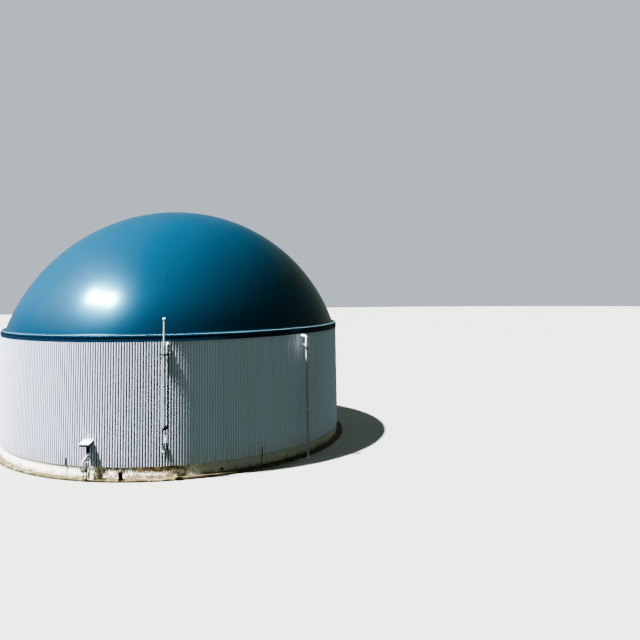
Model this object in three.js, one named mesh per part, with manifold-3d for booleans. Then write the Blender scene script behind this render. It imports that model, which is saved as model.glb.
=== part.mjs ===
// Biogas digester: a round concrete tank in ribbed cladding under an air-held membrane dome.
// Units are millimetres, +Z is up, and the origin is on the tank's axis at ground level.
// Angles round the tank are degrees from the front (-Y), positive towards +X.
import * as THREE from 'three';
import { mergeVertices } from 'three/addons/utils/BufferGeometryUtils.js';
import Module from 'manifold-3d';

const wasm = await Module();
wasm.setup();

// Driving dimensions of the tank
const SLAB_RADIUS = 10960;
const SLAB_TOP = 100;
const WALL_OUTER = 10570;
const WALL_INNER = 10370;
const WALL_TOP = 6900;
const CLADDING_OUTER = 10650;
const CLADDING_BOTTOM = 640;
const CLADDING_TOP = 6700;
const BAND_OUTER = 10690;
const BAND_TOP = 6980;
const LIP_TOP = 7090;
const LIP_SHOULDER = 10660;
const LIP_SHOULDER_Z = 7030;
const DOME_RADIUS = 11040;
const DOME_CENTRE_Z = 3460;
const MEMBRANE_THICKNESS = 30;

// How round walls are cut into flats and pieces
const FACET_DEGREES = 5;
const WALL_SEGMENTS = 8;
const CLADDING_BAYS = 4;
const BAND_ARCS = 4;
const DOME_ROWS = 10;
const SEAT_GAP = 0.3;
const DOME_SEAT_GAP = 0.8;
const ROUND_SIDES = 16;

// A round wall's corners stand out so that the middle of each flat lies on the named radius.
const CORNER_FACTOR = 1 / Math.cos(THREE.MathUtils.degToRad(FACET_DEGREES / 2));

// Relief line: vent mast, gas inlet pipe, header and water-seal pot, on one flat of the cladding
const RELIEF_STATION = -2.5;
const MAST = { x: -170, standOff: 250, radius: 48, top: 7760 };
const INLET = { x: -10, standOff: 160, radius: 42, topZ: 6600, bend: 80 };
const VENT_CAP = { neckRadius: 40, neckHeight: 30, radius: 90, height: 130 };
const UPPER_BRACKET = { z: 6075, left: -420, right: 160, bar: 40, height: 50, ring: 16, arm: 36 };
const HEADER = { radius: 50, left: -225, right: 50, mastZ: 2444, inletZ: 2504, stubWall: 10 };
const HEADER_STUBS = { mastTop: 2545, inletTop: 2605, riserBottom: 2395 };
const RISER = { x: -75, standOff: 230, radius: 40, collarRadius: 62, collarBottom: 2170, collarTop: 2290 };
const POT_CONE = { top: 1860, bottom: 1505, topRadius: 52, bottomRadius: 165 };
const POT = { bottom: 1300, radius: 150, footRadius: 70, footHeight: 60 };
const POT_BRACKET = { plateWidth: 260, plateHeight: 220, plateDepth: 12, armWidth: 90, armHeight: 60 };

// Gas outlet: flange and elbow high on the wall, then a pipe down to a foot flange
const OUTLET_STATION = 37.5;
const OUTLET = { x: 380, standOff: 470, radius: 62, z: 6600, bend: 150 };
const OUTLET_FLANGE = { radius: 80, thickness: 14 };
const COUPLING = { z: 5960, height: 60, radius: 92 };
const FOOT_FLANGE = { radius: 115, thickness: 22 };
const OUTLET_CLAMPS = { upper: 6120, lower: 2600 };
const CLAMP = { height: 50, ring: 14, armWidth: 40, plateWidth: 150, plateHeight: 150, plateDepth: 10 };

// Support-air set at the foot of the wall
const AIR_STATION = -22.5;
const HOOD = { left: -490, right: 30, depth: 440, backTop: 1930, frontTop: 1825, skirt: 130, sheet: 12 };
const NECK = { x: -60, standOff: 300, radius: 72, bottom: 1420, flangeRadius: 92, flangeHeight: 24 };
const DUCT = { radius: 70, endX: -330, endZ: 780, bendTopZ: 1300, bendLowZ: 930 };
const SERVICE_BOX = { x: -265, width: 280, depth: 190, bottom: 460, top: 780, standOff: 205 };
const STAND = { legInset: 35, leg: 45, railZ: 230, rail: 40 };
const VALVE_BOX = { x: 35, width: 310, depth: 210, height: 350, centreRadius: 10820, turn: 7 };
const BRANCH = { x: -50, radius: 40, riseZ: 560, bend: 70 };

// Small items at the foot
const INSPECTION = { station: -12.5, x: -350, centreRadius: 10850, radius: 70, top: 385 };
const INSPECTION_CAP = { radius: 92, top: 450 };
const STRAP = { station: -32.5, x: 353, width: 50, thickness: 6, jogZ: 600, top: 1010 };

const COLOURS = {
  concrete: { color: 0xcfc8b6, roughness: 0.9, metalness: 0.0 },
  cladding: { color: 0xd9dbe0, roughness: 0.45, metalness: 0.1 },
  edge: { color: 0x0d3436, roughness: 0.5, metalness: 0.0 },
  membrane: { color: 0x0d5f70, roughness: 0.3, metalness: 0.0 },
  galvanised: { color: 0xc8cbcc, roughness: 0.4, metalness: 0.8 },
  whitePipe: { color: 0xe6e8e8, roughness: 0.35, metalness: 0.2 },
  darkFitting: { color: 0x23282b, roughness: 0.6, metalness: 0.3 },
  serviceBox: { color: 0x7c8677, roughness: 0.6, metalness: 0.1 },
  brownPlastic: { color: 0x3a241b, roughness: 0.6, metalness: 0.0 },
};

const tank = new THREE.Group();

function material(name) {
  return new THREE.MeshStandardMaterial(COLOURS[name]);
}

// Adds one named piece; station turns its local frame so that local -Y points out of the wall there.
function addPiece(name, geometry, colour, station = 0) {
  const mesh = new THREE.Mesh(geometry, material(colour));
  mesh.name = name;
  mesh.rotation.z = THREE.MathUtils.degToRad(station);
  tank.add(mesh);
}

// Shared vertices joined, and the sides turned outward where a profile ran the other way.
function closedBody(geometry) {
  geometry.deleteAttribute('normal');
  geometry.deleteAttribute('uv');
  const merged = mergeVertices(geometry, 1e-3);
  const position = merged.getAttribute('position');
  const old = merged.index.array;
  const kept = [];
  let volume = 0;
  const a = new THREE.Vector3();
  const b = new THREE.Vector3();
  const c = new THREE.Vector3();
  for (let i = 0; i < old.length; i += 3) {
    const [p, q, r] = [old[i], old[i + 1], old[i + 2]];
    if (p === q || q === r || r === p) continue;
    kept.push([p, q, r]);
    a.fromBufferAttribute(position, p);
    b.fromBufferAttribute(position, q);
    c.fromBufferAttribute(position, r);
    volume += a.dot(b.cross(c));
  }
  const outward = volume > 0 ? kept : kept.map(([p, q, r]) => [p, r, q]);
  merged.setIndex(outward.flat());
  merged.computeVertexNormals();
  return merged;
}

function toManifold(geometry) {
  const body = closedBody(geometry);
  return new wasm.Manifold(new wasm.Mesh({
    numProp: 3,
    vertProperties: new Float32Array(body.getAttribute('position').array),
    triVerts: new Uint32Array(body.index.array),
  }));
}

function fromManifold(solid) {
  const mesh = solid.getMesh();
  const geometry = new THREE.BufferGeometry();
  geometry.setAttribute('position', new THREE.BufferAttribute(mesh.vertProperties, 3));
  geometry.setIndex(new THREE.BufferAttribute(mesh.triVerts, 1));
  geometry.computeVertexNormals();
  return geometry;
}

function joined(...geometries) {
  return fromManifold(geometries.map(toManifold).reduce((sum, next) => sum.add(next)));
}

function cut(geometry, ...tools) {
  return fromManifold(tools.map(toManifold).reduce((rest, next) => rest.subtract(next), toManifold(geometry)));
}

// Box between two corners.
function block(x0, y0, z0, x1, y1, z1) {
  const box = new THREE.BoxGeometry(x1 - x0, y1 - y0, z1 - z0);
  return box.translate((x0 + x1) / 2, (y0 + y1) / 2, (z0 + z1) / 2);
}

// Upright round bar; radii may differ for a cone.
function upright(x, y, z0, z1, radius, topRadius = radius) {
  const bar = new THREE.CylinderGeometry(topRadius, radius, z1 - z0, ROUND_SIDES);
  return bar.rotateX(Math.PI / 2).translate(x, y, (z0 + z1) / 2);
}

// Round disc on the wall, its axis along local Y.
function wallDisc(x, z, y0, y1, radius) {
  const disc = new THREE.CylinderGeometry(radius, radius, Math.abs(y1 - y0), ROUND_SIDES);
  return disc.translate(x, (y0 + y1) / 2, z);
}

// Radius of a round hole whose flats clear a bar of the given radius by the seat gap.
function clearHole(radius) {
  return (radius + SEAT_GAP) / Math.cos(Math.PI / ROUND_SIDES);
}

// A profile of [radius, height] points swept round the tank from one angle to another.
function roundWall(profile, fromDegrees, toDegrees) {
  const facets = Math.round((toDegrees - fromDegrees) / FACET_DEGREES);
  const endGap = THREE.MathUtils.radToDeg(SEAT_GAP / 2 / WALL_INNER);
  const start = fromDegrees + endGap;
  const span = toDegrees - fromDegrees - 2 * endGap;
  const shape = new THREE.Shape(profile.map(([radius, height]) => new THREE.Vector2(radius, height)));
  const geometry = new THREE.ExtrudeGeometry(shape, { steps: facets, depth: 1, bevelEnabled: false });
  const position = geometry.getAttribute('position');
  for (let i = 0; i < position.count; i += 1) {
    const radius = position.getX(i) * CORNER_FACTOR;
    const height = position.getY(i);
    const angle = THREE.MathUtils.degToRad(start + span * (1 - position.getZ(i)));
    position.setXYZ(i, radius * Math.sin(angle), -radius * Math.cos(angle), height);
  }
  return closedBody(geometry);
}

// The centre line of a bent pipe, met exactly at its listed rings and not spaced by length.
class RingPath extends THREE.Curve {
  constructor(rings) {
    super();
    this.rings = rings;
  }

  ringAt(u) {
    return this.rings[Math.round(u * (this.rings.length - 1))];
  }

  getPointAt(u, target = new THREE.Vector3()) {
    return target.copy(this.ringAt(u).point);
  }

  getTangentAt(u, target = new THREE.Vector3()) {
    return target.copy(this.ringAt(u).tangent);
  }
}

// Rings of a pipe that runs through the given corners, with a round bend at each inner corner.
function pipeRings(corners, bendRadius, bendSteps = 5) {
  const points = corners.map((corner) => new THREE.Vector3(...corner));
  const legs = points.slice(1).map((point, i) => point.clone().sub(points[i]).normalize());
  const rings = [{ point: points[0], tangent: legs[0] }];
  for (let i = 1; i < points.length - 1; i += 1) {
    const [before, after] = [legs[i - 1], legs[i]];
    const turn = before.angleTo(after);
    const setBack = bendRadius * Math.tan(turn / 2);
    const axis = before.clone().cross(after).normalize();
    const start = points[i].clone().addScaledVector(before, -setBack);
    const inward = axis.clone().cross(before);
    const centre = start.clone().addScaledVector(inward, bendRadius);
    for (let step = 0; step <= bendSteps; step += 1) {
      const angle = (turn * step) / bendSteps;
      const arm = start.clone().sub(centre).applyAxisAngle(axis, angle);
      rings.push({ point: centre.clone().add(arm), tangent: before.clone().applyAxisAngle(axis, angle) });
    }
  }
  rings.push({ point: points.at(-1), tangent: legs.at(-1) });
  return rings;
}

function bentPipe(corners, radius, bendRadius) {
  const rings = pipeRings(corners, bendRadius);
  const section = new THREE.Shape();
  for (let i = 0; i < ROUND_SIDES; i += 1) {
    const angle = (2 * Math.PI * i) / ROUND_SIDES;
    const [x, y] = [radius * Math.cos(angle), radius * Math.sin(angle)];
    if (i === 0) section.moveTo(x, y);
    else section.lineTo(x, y);
  }
  section.closePath();
  const options = { steps: rings.length - 1, bevelEnabled: false, extrudePath: new RingPath(rings) };
  return closedBody(new THREE.ExtrudeGeometry(section, options));
}

// Radius of the dome's outside at a height.
function domeRadiusAt(z) {
  return Math.sqrt(DOME_RADIUS ** 2 - (z - DOME_CENTRE_Z) ** 2);
}

function buildTank() {
  const slabCorner = SLAB_RADIUS * CORNER_FACTOR;
  const slab = new THREE.CylinderGeometry(slabCorner, slabCorner, SLAB_TOP, 360 / FACET_DEGREES);
  addPiece('floor_slab', closedBody(slab.rotateX(Math.PI / 2).translate(0, 0, SLAB_TOP / 2)), 'concrete');

  const wall = [[WALL_INNER, SLAB_TOP], [WALL_OUTER, SLAB_TOP], [WALL_OUTER, WALL_TOP], [WALL_INNER, WALL_TOP]];
  for (let i = 0; i < WALL_SEGMENTS; i += 1) {
    const step = 360 / WALL_SEGMENTS;
    addPiece(`tank_wall_${i + 1}`, roundWall(wall, i * step, (i + 1) * step), 'concrete');
  }

  const back = WALL_OUTER + SEAT_GAP;
  const sheet = [
    [back, CLADDING_BOTTOM],
    [CLADDING_OUTER, CLADDING_BOTTOM],
    [CLADDING_OUTER, CLADDING_TOP],
    [back, CLADDING_TOP],
  ];
  for (let i = 0; i < CLADDING_BAYS; i += 1) {
    const step = 360 / CLADDING_BAYS;
    addPiece(`cladding_bay_${i + 1}`, roundWall(sheet, i * step, (i + 1) * step), 'cladding');
  }
}

// The clamping band and its sloping lip, which closes up to the membrane above the wall's top.
function buildEdgeBand() {
  const back = WALL_OUTER + SEAT_GAP;
  const profile = [
    [back, CLADDING_TOP],
    [BAND_OUTER, CLADDING_TOP],
    [BAND_OUTER, BAND_TOP],
    [LIP_SHOULDER, LIP_SHOULDER_Z],
    [domeRadiusAt(LIP_TOP) + DOME_SEAT_GAP, LIP_TOP],
    [domeRadiusAt(WALL_TOP) + DOME_SEAT_GAP, WALL_TOP],
    [back, WALL_TOP],
  ];
  for (let i = 0; i < BAND_ARCS; i += 1) {
    const step = 360 / BAND_ARCS;
    addPiece(`edge_band_${i + 1}`, roundWall(profile, i * step, (i + 1) * step), 'edge');
  }
}

// One spherical cap, from the wall's top to the crown, with its edge standing on the wall.
function buildDome() {
  const capAngle = Math.acos((LIP_TOP - DOME_CENTRE_Z) / DOME_RADIUS);
  const outside = [];
  for (let row = 0; row <= DOME_ROWS; row += 1) {
    const angle = (capAngle * row) / DOME_ROWS;
    outside.push([DOME_RADIUS * Math.sin(angle), DOME_CENTRE_Z + DOME_RADIUS * Math.cos(angle)]);
  }
  const innerRadius = DOME_RADIUS - MEMBRANE_THICKNESS;
  const inside = outside.map(([radius, z]) => {
    const scale = innerRadius / DOME_RADIUS;
    return [radius * scale, DOME_CENTRE_Z + (z - DOME_CENTRE_Z) * scale];
  });
  const rim = domeRadiusAt(WALL_TOP);
  const profile = [...outside, [rim, WALL_TOP], [rim - MEMBRANE_THICKNESS, WALL_TOP], ...inside.reverse()];
  const points = profile.map(([radius, z]) => new THREE.Vector2(radius * CORNER_FACTOR, z));
  const cap = new THREE.LatheGeometry(points, 360 / FACET_DEGREES).rotateX(Math.PI / 2);
  addPiece('dome_membrane', closedBody(cap), 'membrane');
}

// Local Y of a point that stands off the cladding by the given distance.
function outFromCladding(standOff) {
  return -(CLADDING_OUTER + standOff);
}

const CLADDING_SEAT = outFromCladding(SEAT_GAP);

// A ring round an upright pipe with an arm back to the given Y.
function pipeClamp(x, standOff, radius, z, height, ring, armWidth, armEnd) {
  const y = outFromCladding(standOff);
  const collar = upright(x, y, z - height / 2, z + height / 2, radius + ring);
  const arm = block(x - armWidth / 2, y, z - height / 2, x + armWidth / 2, armEnd, z + height / 2);
  const hole = upright(x, y, z - height, z + height, clearHole(radius));
  return cut(joined(collar, arm), hole);
}

// A point of the header's centre line, which slopes from the mast's foot back and up to the inlet's.
function headerPoint(x) {
  const share = (x - MAST.x) / (INLET.x - MAST.x);
  const standOff = THREE.MathUtils.lerp(MAST.standOff, INLET.standOff, share);
  return [x, outFromCladding(standOff), THREE.MathUtils.lerp(HEADER.mastZ, HEADER.inletZ, share)];
}

function buildReliefLine() {
  const mastY = outFromCladding(MAST.standOff);
  const inletY = outFromCladding(INLET.standOff);
  const mast = upright(MAST.x, mastY, HEADER_STUBS.mastTop, MAST.top, MAST.radius);
  addPiece('vent_mast', closedBody(mast), 'galvanised', RELIEF_STATION);

  const capBase = MAST.top;
  const capEdge = capBase + VENT_CAP.neckHeight;
  const cap = [
    [0, capBase],
    [VENT_CAP.neckRadius, capBase],
    [VENT_CAP.neckRadius, capEdge],
    [VENT_CAP.radius, capEdge + VENT_CAP.height * 0.15],
    [VENT_CAP.radius, capEdge + VENT_CAP.height * 0.45],
    [VENT_CAP.radius * 0.7, capEdge + VENT_CAP.height * 0.8],
    [VENT_CAP.radius * 0.3, capEdge + VENT_CAP.height],
    [0, capEdge + VENT_CAP.height],
  ];
  const capPoints = cap.map(([radius, z]) => new THREE.Vector2(radius, z));
  const capBody = new THREE.LatheGeometry(capPoints, ROUND_SIDES).rotateX(Math.PI / 2).translate(MAST.x, mastY, 0);
  addPiece('vent_cap', closedBody(capBody), 'whitePipe', RELIEF_STATION);

  const inletCorners = [
    [INLET.x, inletY, HEADER_STUBS.inletTop],
    [INLET.x, inletY, INLET.topZ],
    [INLET.x, CLADDING_SEAT, INLET.topZ],
  ];
  addPiece('relief_inlet_pipe', bentPipe(inletCorners, INLET.radius, INLET.bend), 'galvanised', RELIEF_STATION);

  const barFront = outFromCladding(UPPER_BRACKET.bar);
  const bracket = UPPER_BRACKET;
  const bar = block(
    bracket.left, barFront, bracket.z - bracket.height / 2,
    bracket.right, CLADDING_SEAT, bracket.z + bracket.height / 2,
  );
  const clampArgs = [bracket.z, bracket.height, bracket.ring, bracket.arm, barFront + bracket.bar / 2];
  const mastClamp = pipeClamp(MAST.x, MAST.standOff, MAST.radius, ...clampArgs);
  const inletClamp = pipeClamp(INLET.x, INLET.standOff, INLET.radius, ...clampArgs);
  addPiece('upper_pipe_bracket', joined(bar, mastClamp, inletClamp), 'galvanised', RELIEF_STATION);

  const riserY = outFromCladding(RISER.standOff);
  const { mastTop, inletTop, riserBottom } = HEADER_STUBS;
  const header = joined(
    bentPipe([headerPoint(HEADER.left), headerPoint(HEADER.right)], HEADER.radius, 0),
    upright(MAST.x, mastY, HEADER.mastZ, mastTop, MAST.radius + HEADER.stubWall),
    upright(INLET.x, inletY, HEADER.inletZ, inletTop, INLET.radius + HEADER.stubWall),
    upright(RISER.x, riserY, riserBottom, headerPoint(RISER.x)[2], RISER.radius + HEADER.stubWall),
  );
  addPiece('relief_header', header, 'darkFitting', RELIEF_STATION);

  const riser = joined(
    upright(RISER.x, riserY, POT_CONE.top, riserBottom, RISER.radius),
    upright(RISER.x, riserY, RISER.collarBottom, RISER.collarTop, RISER.collarRadius),
  );
  addPiece('relief_riser', riser, 'whitePipe', RELIEF_STATION);

  const cone = upright(RISER.x, riserY, POT_CONE.bottom, POT_CONE.top, POT_CONE.bottomRadius, POT_CONE.topRadius);
  addPiece('relief_pot_cone', closedBody(cone), 'darkFitting', RELIEF_STATION);

  const foot = POT.bottom + POT.footHeight;
  const pot = joined(
    upright(RISER.x, riserY, foot, POT_CONE.bottom, POT.radius),
    upright(RISER.x, riserY, POT.bottom, foot, POT.footRadius, POT.radius),
  );
  addPiece('relief_pot', pot, 'galvanised', RELIEF_STATION);

  const midZ = (foot + POT_CONE.bottom) / 2;
  const plateFront = CLADDING_SEAT - POT_BRACKET.plateDepth;
  const plate = block(
    RISER.x - POT_BRACKET.plateWidth / 2, plateFront, midZ - POT_BRACKET.plateHeight / 2,
    RISER.x + POT_BRACKET.plateWidth / 2, CLADDING_SEAT, midZ + POT_BRACKET.plateHeight / 2,
  );
  const arm = block(
    RISER.x - POT_BRACKET.armWidth / 2, riserY, midZ - POT_BRACKET.armHeight / 2,
    RISER.x + POT_BRACKET.armWidth / 2, plateFront, midZ + POT_BRACKET.armHeight / 2,
  );
  const potSpace = upright(RISER.x, riserY, foot, POT_CONE.bottom, clearHole(POT.radius));
  addPiece('relief_pot_bracket', cut(joined(plate, arm), potSpace), 'galvanised', RELIEF_STATION);
}

function buildGasOutlet() {
  const flangeFront = CLADDING_SEAT - OUTLET_FLANGE.thickness;
  const flange = wallDisc(OUTLET.x, OUTLET.z, flangeFront, CLADDING_SEAT, OUTLET_FLANGE.radius);
  addPiece('gas_outlet_flange', closedBody(flange), 'galvanised', OUTLET_STATION);

  const pipeY = outFromCladding(OUTLET.standOff);
  const elbowCorners = [
    [OUTLET.x, flangeFront - SEAT_GAP, OUTLET.z],
    [OUTLET.x, pipeY, OUTLET.z],
    [OUTLET.x, pipeY, COUPLING.z],
  ];
  addPiece('gas_outlet_elbow', bentPipe(elbowCorners, OUTLET.radius, OUTLET.bend), 'whitePipe', OUTLET_STATION);

  const downPipe = upright(OUTLET.x, pipeY, FOOT_FLANGE.thickness, COUPLING.z - SEAT_GAP, OUTLET.radius);
  addPiece('gas_down_pipe', closedBody(downPipe), 'whitePipe', OUTLET_STATION);

  const couplingBottom = COUPLING.z - COUPLING.height / 2;
  const couplingTop = COUPLING.z + COUPLING.height / 2;
  const couplingHole = OUTLET.radius + SEAT_GAP + 0.05;
  const coupling = cut(
    upright(OUTLET.x, pipeY, couplingBottom, couplingTop, COUPLING.radius),
    upright(OUTLET.x, pipeY, couplingBottom - 1, couplingTop + 1, couplingHole),
  );
  addPiece('gas_pipe_coupling', coupling, 'galvanised', OUTLET_STATION);

  const foot = upright(OUTLET.x, pipeY, 0, FOOT_FLANGE.thickness, FOOT_FLANGE.radius);
  addPiece('gas_foot_flange', closedBody(foot), 'galvanised', OUTLET_STATION);

  const plateFront = CLADDING_SEAT - CLAMP.plateDepth;
  for (const [place, z] of Object.entries(OUTLET_CLAMPS)) {
    const ring = pipeClamp(
      OUTLET.x, OUTLET.standOff, OUTLET.radius, z,
      CLAMP.height, CLAMP.ring, CLAMP.armWidth, plateFront + CLAMP.plateDepth / 2,
    );
    const plate = block(
      OUTLET.x - CLAMP.plateWidth / 2, plateFront, z - CLAMP.plateHeight / 2,
      OUTLET.x + CLAMP.plateWidth / 2, CLADDING_SEAT, z + CLAMP.plateHeight / 2,
    );
    addPiece(`gas_pipe_clamp_${place}`, joined(ring, plate), 'galvanised', OUTLET_STATION);
  }
}

// Side outline of the rain hood, [stand-off, height], grown inward by an inset for the hollow below it.
function hoodOutline(inset) {
  const fall = (HOOD.backTop - HOOD.frontTop) / HOOD.depth;
  const back = inset;
  const front = HOOD.depth - inset;
  const topAt = (standOff) => HOOD.backTop - fall * standOff - inset;
  const bottomAt = (standOff) => HOOD.backTop - HOOD.skirt - fall * standOff - inset;
  return [[back, bottomAt(back)], [front, bottomAt(front)], [front, topAt(front)], [back, topAt(back)]];
}

function hoodSolid(inset) {
  const outline = hoodOutline(inset);
  const shape = new THREE.Shape(outline.map(([standOff, z]) => new THREE.Vector2(standOff, z)));
  const width = HOOD.right - HOOD.left - 2 * inset;
  const solid = new THREE.ExtrudeGeometry(shape, { depth: width, bevelEnabled: false });
  return solid.rotateX(Math.PI / 2).rotateZ(-Math.PI / 2).translate(HOOD.right - inset, CLADDING_SEAT, 0);
}

function buildAirSet() {
  const hood = cut(hoodSolid(0), hoodSolid(HOOD.sheet));
  addPiece('rain_hood', hood, 'whitePipe', AIR_STATION);

  const neckY = outFromCladding(NECK.standOff);
  const fall = (HOOD.backTop - HOOD.frontTop) / HOOD.depth;
  const underHood = HOOD.backTop - HOOD.sheet - fall * (NECK.standOff + NECK.radius) - 2 * SEAT_GAP;
  const neck = joined(
    upright(NECK.x, neckY, NECK.bottom, underHood, NECK.radius),
    upright(NECK.x, neckY, NECK.bottom, NECK.bottom + NECK.flangeHeight, NECK.flangeRadius),
  );
  addPiece('intake_neck', neck, 'darkFitting', AIR_STATION);

  const ductCorners = [
    [NECK.x, neckY, NECK.bottom],
    [NECK.x, neckY, DUCT.bendTopZ],
    [DUCT.endX, neckY, DUCT.bendLowZ],
    [DUCT.endX, neckY, DUCT.endZ],
  ];
  addPiece('air_duct', bentPipe(ductCorners, DUCT.radius, DUCT.radius * 1.6), 'whitePipe', AIR_STATION);

  const boxBack = outFromCladding(SERVICE_BOX.standOff);
  const boxFront = boxBack - SERVICE_BOX.depth;
  const boxLeft = SERVICE_BOX.x - SERVICE_BOX.width / 2;
  const boxRight = SERVICE_BOX.x + SERVICE_BOX.width / 2;
  const box = block(boxLeft, boxFront, SERVICE_BOX.bottom, boxRight, boxBack, SERVICE_BOX.top);
  addPiece('service_box', closedBody(box), 'serviceBox', AIR_STATION);

  const legY = -(SLAB_RADIUS - 40);
  const legs = [boxLeft + STAND.legInset, boxRight - STAND.legInset - STAND.leg].map((x) => block(
    x, legY, SLAB_TOP, x + STAND.leg, legY + STAND.leg, SERVICE_BOX.bottom,
  ));
  const rail = block(
    boxLeft + STAND.legInset, legY, STAND.railZ,
    boxRight - STAND.legInset, legY + STAND.leg, STAND.railZ + STAND.rail,
  );
  addPiece('service_box_stand', joined(...legs, rail), 'darkFitting', AIR_STATION);

  const valveBoxTop = SLAB_TOP + VALVE_BOX.height;
  const valveBox = new THREE.BoxGeometry(VALVE_BOX.width, VALVE_BOX.depth, VALVE_BOX.height);
  valveBox.rotateZ(THREE.MathUtils.degToRad(VALVE_BOX.turn));
  valveBox.translate(VALVE_BOX.x, -VALVE_BOX.centreRadius, SLAB_TOP + VALVE_BOX.height / 2);
  addPiece('valve_box', closedBody(valveBox), 'whitePipe', AIR_STATION);

  const branchCorners = [
    [BRANCH.x, -VALVE_BOX.centreRadius, valveBoxTop],
    [BRANCH.x, -VALVE_BOX.centreRadius, BRANCH.riseZ],
    [BRANCH.x, -(WALL_OUTER + SEAT_GAP), BRANCH.riseZ],
  ];
  addPiece('wall_branch_pipe', bentPipe(branchCorners, BRANCH.radius, BRANCH.bend), 'whitePipe', AIR_STATION);
}

function buildFootItems() {
  const y = -INSPECTION.centreRadius;
  const tube = upright(INSPECTION.x, y, SLAB_TOP, INSPECTION.top, INSPECTION.radius);
  addPiece('inspection_pipe', closedBody(tube), 'brownPlastic', INSPECTION.station);
  const cap = upright(INSPECTION.x, y, INSPECTION.top, INSPECTION_CAP.top, INSPECTION_CAP.radius);
  addPiece('inspection_cap', closedBody(cap), 'brownPlastic', INSPECTION.station);

  const wallFace = WALL_OUTER + SEAT_GAP;
  const claddingFace = CLADDING_OUTER + SEAT_GAP;
  const t = STRAP.thickness;
  const outline = [
    [wallFace, SLAB_TOP],
    [wallFace + t, SLAB_TOP],
    [wallFace + t, STRAP.jogZ - t],
    [claddingFace + t, STRAP.jogZ - t],
    [claddingFace + t, STRAP.top],
    [claddingFace, STRAP.top],
    [claddingFace, STRAP.jogZ],
    [wallFace, STRAP.jogZ],
  ];
  const shape = new THREE.Shape(outline.map(([radius, z]) => new THREE.Vector2(radius, z)));
  const strap = new THREE.ExtrudeGeometry(shape, { depth: STRAP.width, bevelEnabled: false });
  strap.rotateX(Math.PI / 2).rotateZ(-Math.PI / 2).translate(STRAP.x + STRAP.width / 2, 0, 0);
  addPiece('earthing_strap', closedBody(strap), 'galvanised', STRAP.station);
}

buildTank();
buildEdgeBand();
buildDome();
buildReliefLine();
buildGasOutlet();
buildAirSet();
buildFootItems();

export default tank;
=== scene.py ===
"""Looks of a biogas digester: a round tank in ribbed sheet under an air-held membrane dome.

Lengths are metres in the tank's own frame: +Z up, the origin on the tank's axis at ground level,
and -Y towards the camera. A station is an angle round the tank, in degrees from -Y towards +X.
In a station's local frame X runs to the right along the wall and -Y points out of it, so that a
fitting is drawn there first and then carried round to its station.
"""

import logging
import math
from dataclasses import dataclass
from enum import Enum
from typing import Any, Callable, Dict, List, Optional, Sequence, Tuple, Union

import bmesh
import bpy
from mathutils import Matrix, Vector

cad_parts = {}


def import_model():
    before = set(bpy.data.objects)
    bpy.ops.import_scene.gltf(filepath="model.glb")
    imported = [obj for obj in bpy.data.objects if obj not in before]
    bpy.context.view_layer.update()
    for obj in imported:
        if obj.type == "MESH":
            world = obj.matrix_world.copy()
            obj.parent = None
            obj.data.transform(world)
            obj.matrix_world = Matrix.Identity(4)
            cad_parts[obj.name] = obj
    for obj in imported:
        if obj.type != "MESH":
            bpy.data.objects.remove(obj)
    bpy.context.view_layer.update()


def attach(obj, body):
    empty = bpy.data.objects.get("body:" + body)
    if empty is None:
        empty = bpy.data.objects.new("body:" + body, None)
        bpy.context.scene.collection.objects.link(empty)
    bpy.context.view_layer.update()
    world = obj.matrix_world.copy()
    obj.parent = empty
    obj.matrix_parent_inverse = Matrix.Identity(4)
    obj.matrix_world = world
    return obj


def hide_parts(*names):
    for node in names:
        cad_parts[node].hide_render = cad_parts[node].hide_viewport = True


LOG = logging.getLogger("digester")
FULL_TURN = 2 * math.pi
CLADDING_FACE = 10.65
WALL_FACE = 10.57
SLAB_TOP = 0.10
PLINTH_TOP = 0.64
SEAT_GAP = 0.0005
BACK_STATION = 180.0
SMOOTH_UNDER = 35.0
UP = (0, 0, 1)
DOWN = (0, 0, -1)
OUT = (0, -1, 0)
SQUARE_ON = 0.9
BEND_STEP = 7
SUNLIGHT = (1.0, 0.99, 0.98)
FABRIC = ("membrane_dome", "dome_seams", "membrane_skirt")
UNDER_SHEETS = ("concrete_wall", "formwork_marks", "valve_box_case", "wall_branch")
BAND_EDGE = ("membrane_edge_flap", "clamping_rail", "rail_bolts")

Point = Tuple[float, float, float]
Colour = Tuple[float, float, float]
Outline = Sequence[Tuple[float, float]]
Piece = bpy.types.Object
Socket = bpy.types.NodeSocket
PlaceTest = Callable[[Vector, Vector], bool]


class Slot(Enum):
    """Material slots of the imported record."""

    CONCRETE = "concrete"
    CLADDING = "cladding_sheet"
    EDGE = "edge_band"
    MEMBRANE = "membrane"
    GALVANISED = "galvanised_pipe"
    WHITE = "white_pipe"
    DARK = "dark_fitting"
    BOX = "box_paint"
    BROWN = "brown_plastic"


class Kind(Enum):
    """What an edit picks: vertices or faces."""

    VERTEX = "VERT"
    FACE = "FACE"


def clear_selection() -> None:
    """Leave nothing selected, so that the next operator acts on one piece only."""
    if bpy.context.mode != "OBJECT":
        bpy.ops.object.mode_set(mode="OBJECT")
    bpy.ops.object.select_all(action="DESELECT")


def take_up(piece: Piece) -> None:
    """Select one piece alone and make it the active one."""
    clear_selection()
    piece.select_set(True)
    bpy.context.view_layer.objects.active = piece


def settle(piece: Piece) -> Piece:
    """Put a piece's place, turn and size into its mesh.

    Args:
        piece: The piece, placed by its object's location and rotation.

    Returns:
        The same piece, its object now at the origin.
    """
    take_up(piece)
    bpy.ops.object.transform_apply(location=True, rotation=True, scale=True)
    return piece


def out_from_cladding(stand_off: float) -> float:
    """Local Y of a point that stands off the cladding's face by the given distance."""
    return -(CLADDING_FACE + stand_off)


def carry_to_station(piece: Piece, station: float) -> Piece:
    """Turn a piece about the tank's axis, from its local frame to its station.

    Args:
        piece: A piece drawn in a station's local frame.
        station: Degrees round the tank.

    Returns:
        The same piece, at its station.
    """
    piece.rotation_euler = (0, 0, math.radians(station))
    return settle(piece)


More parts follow.
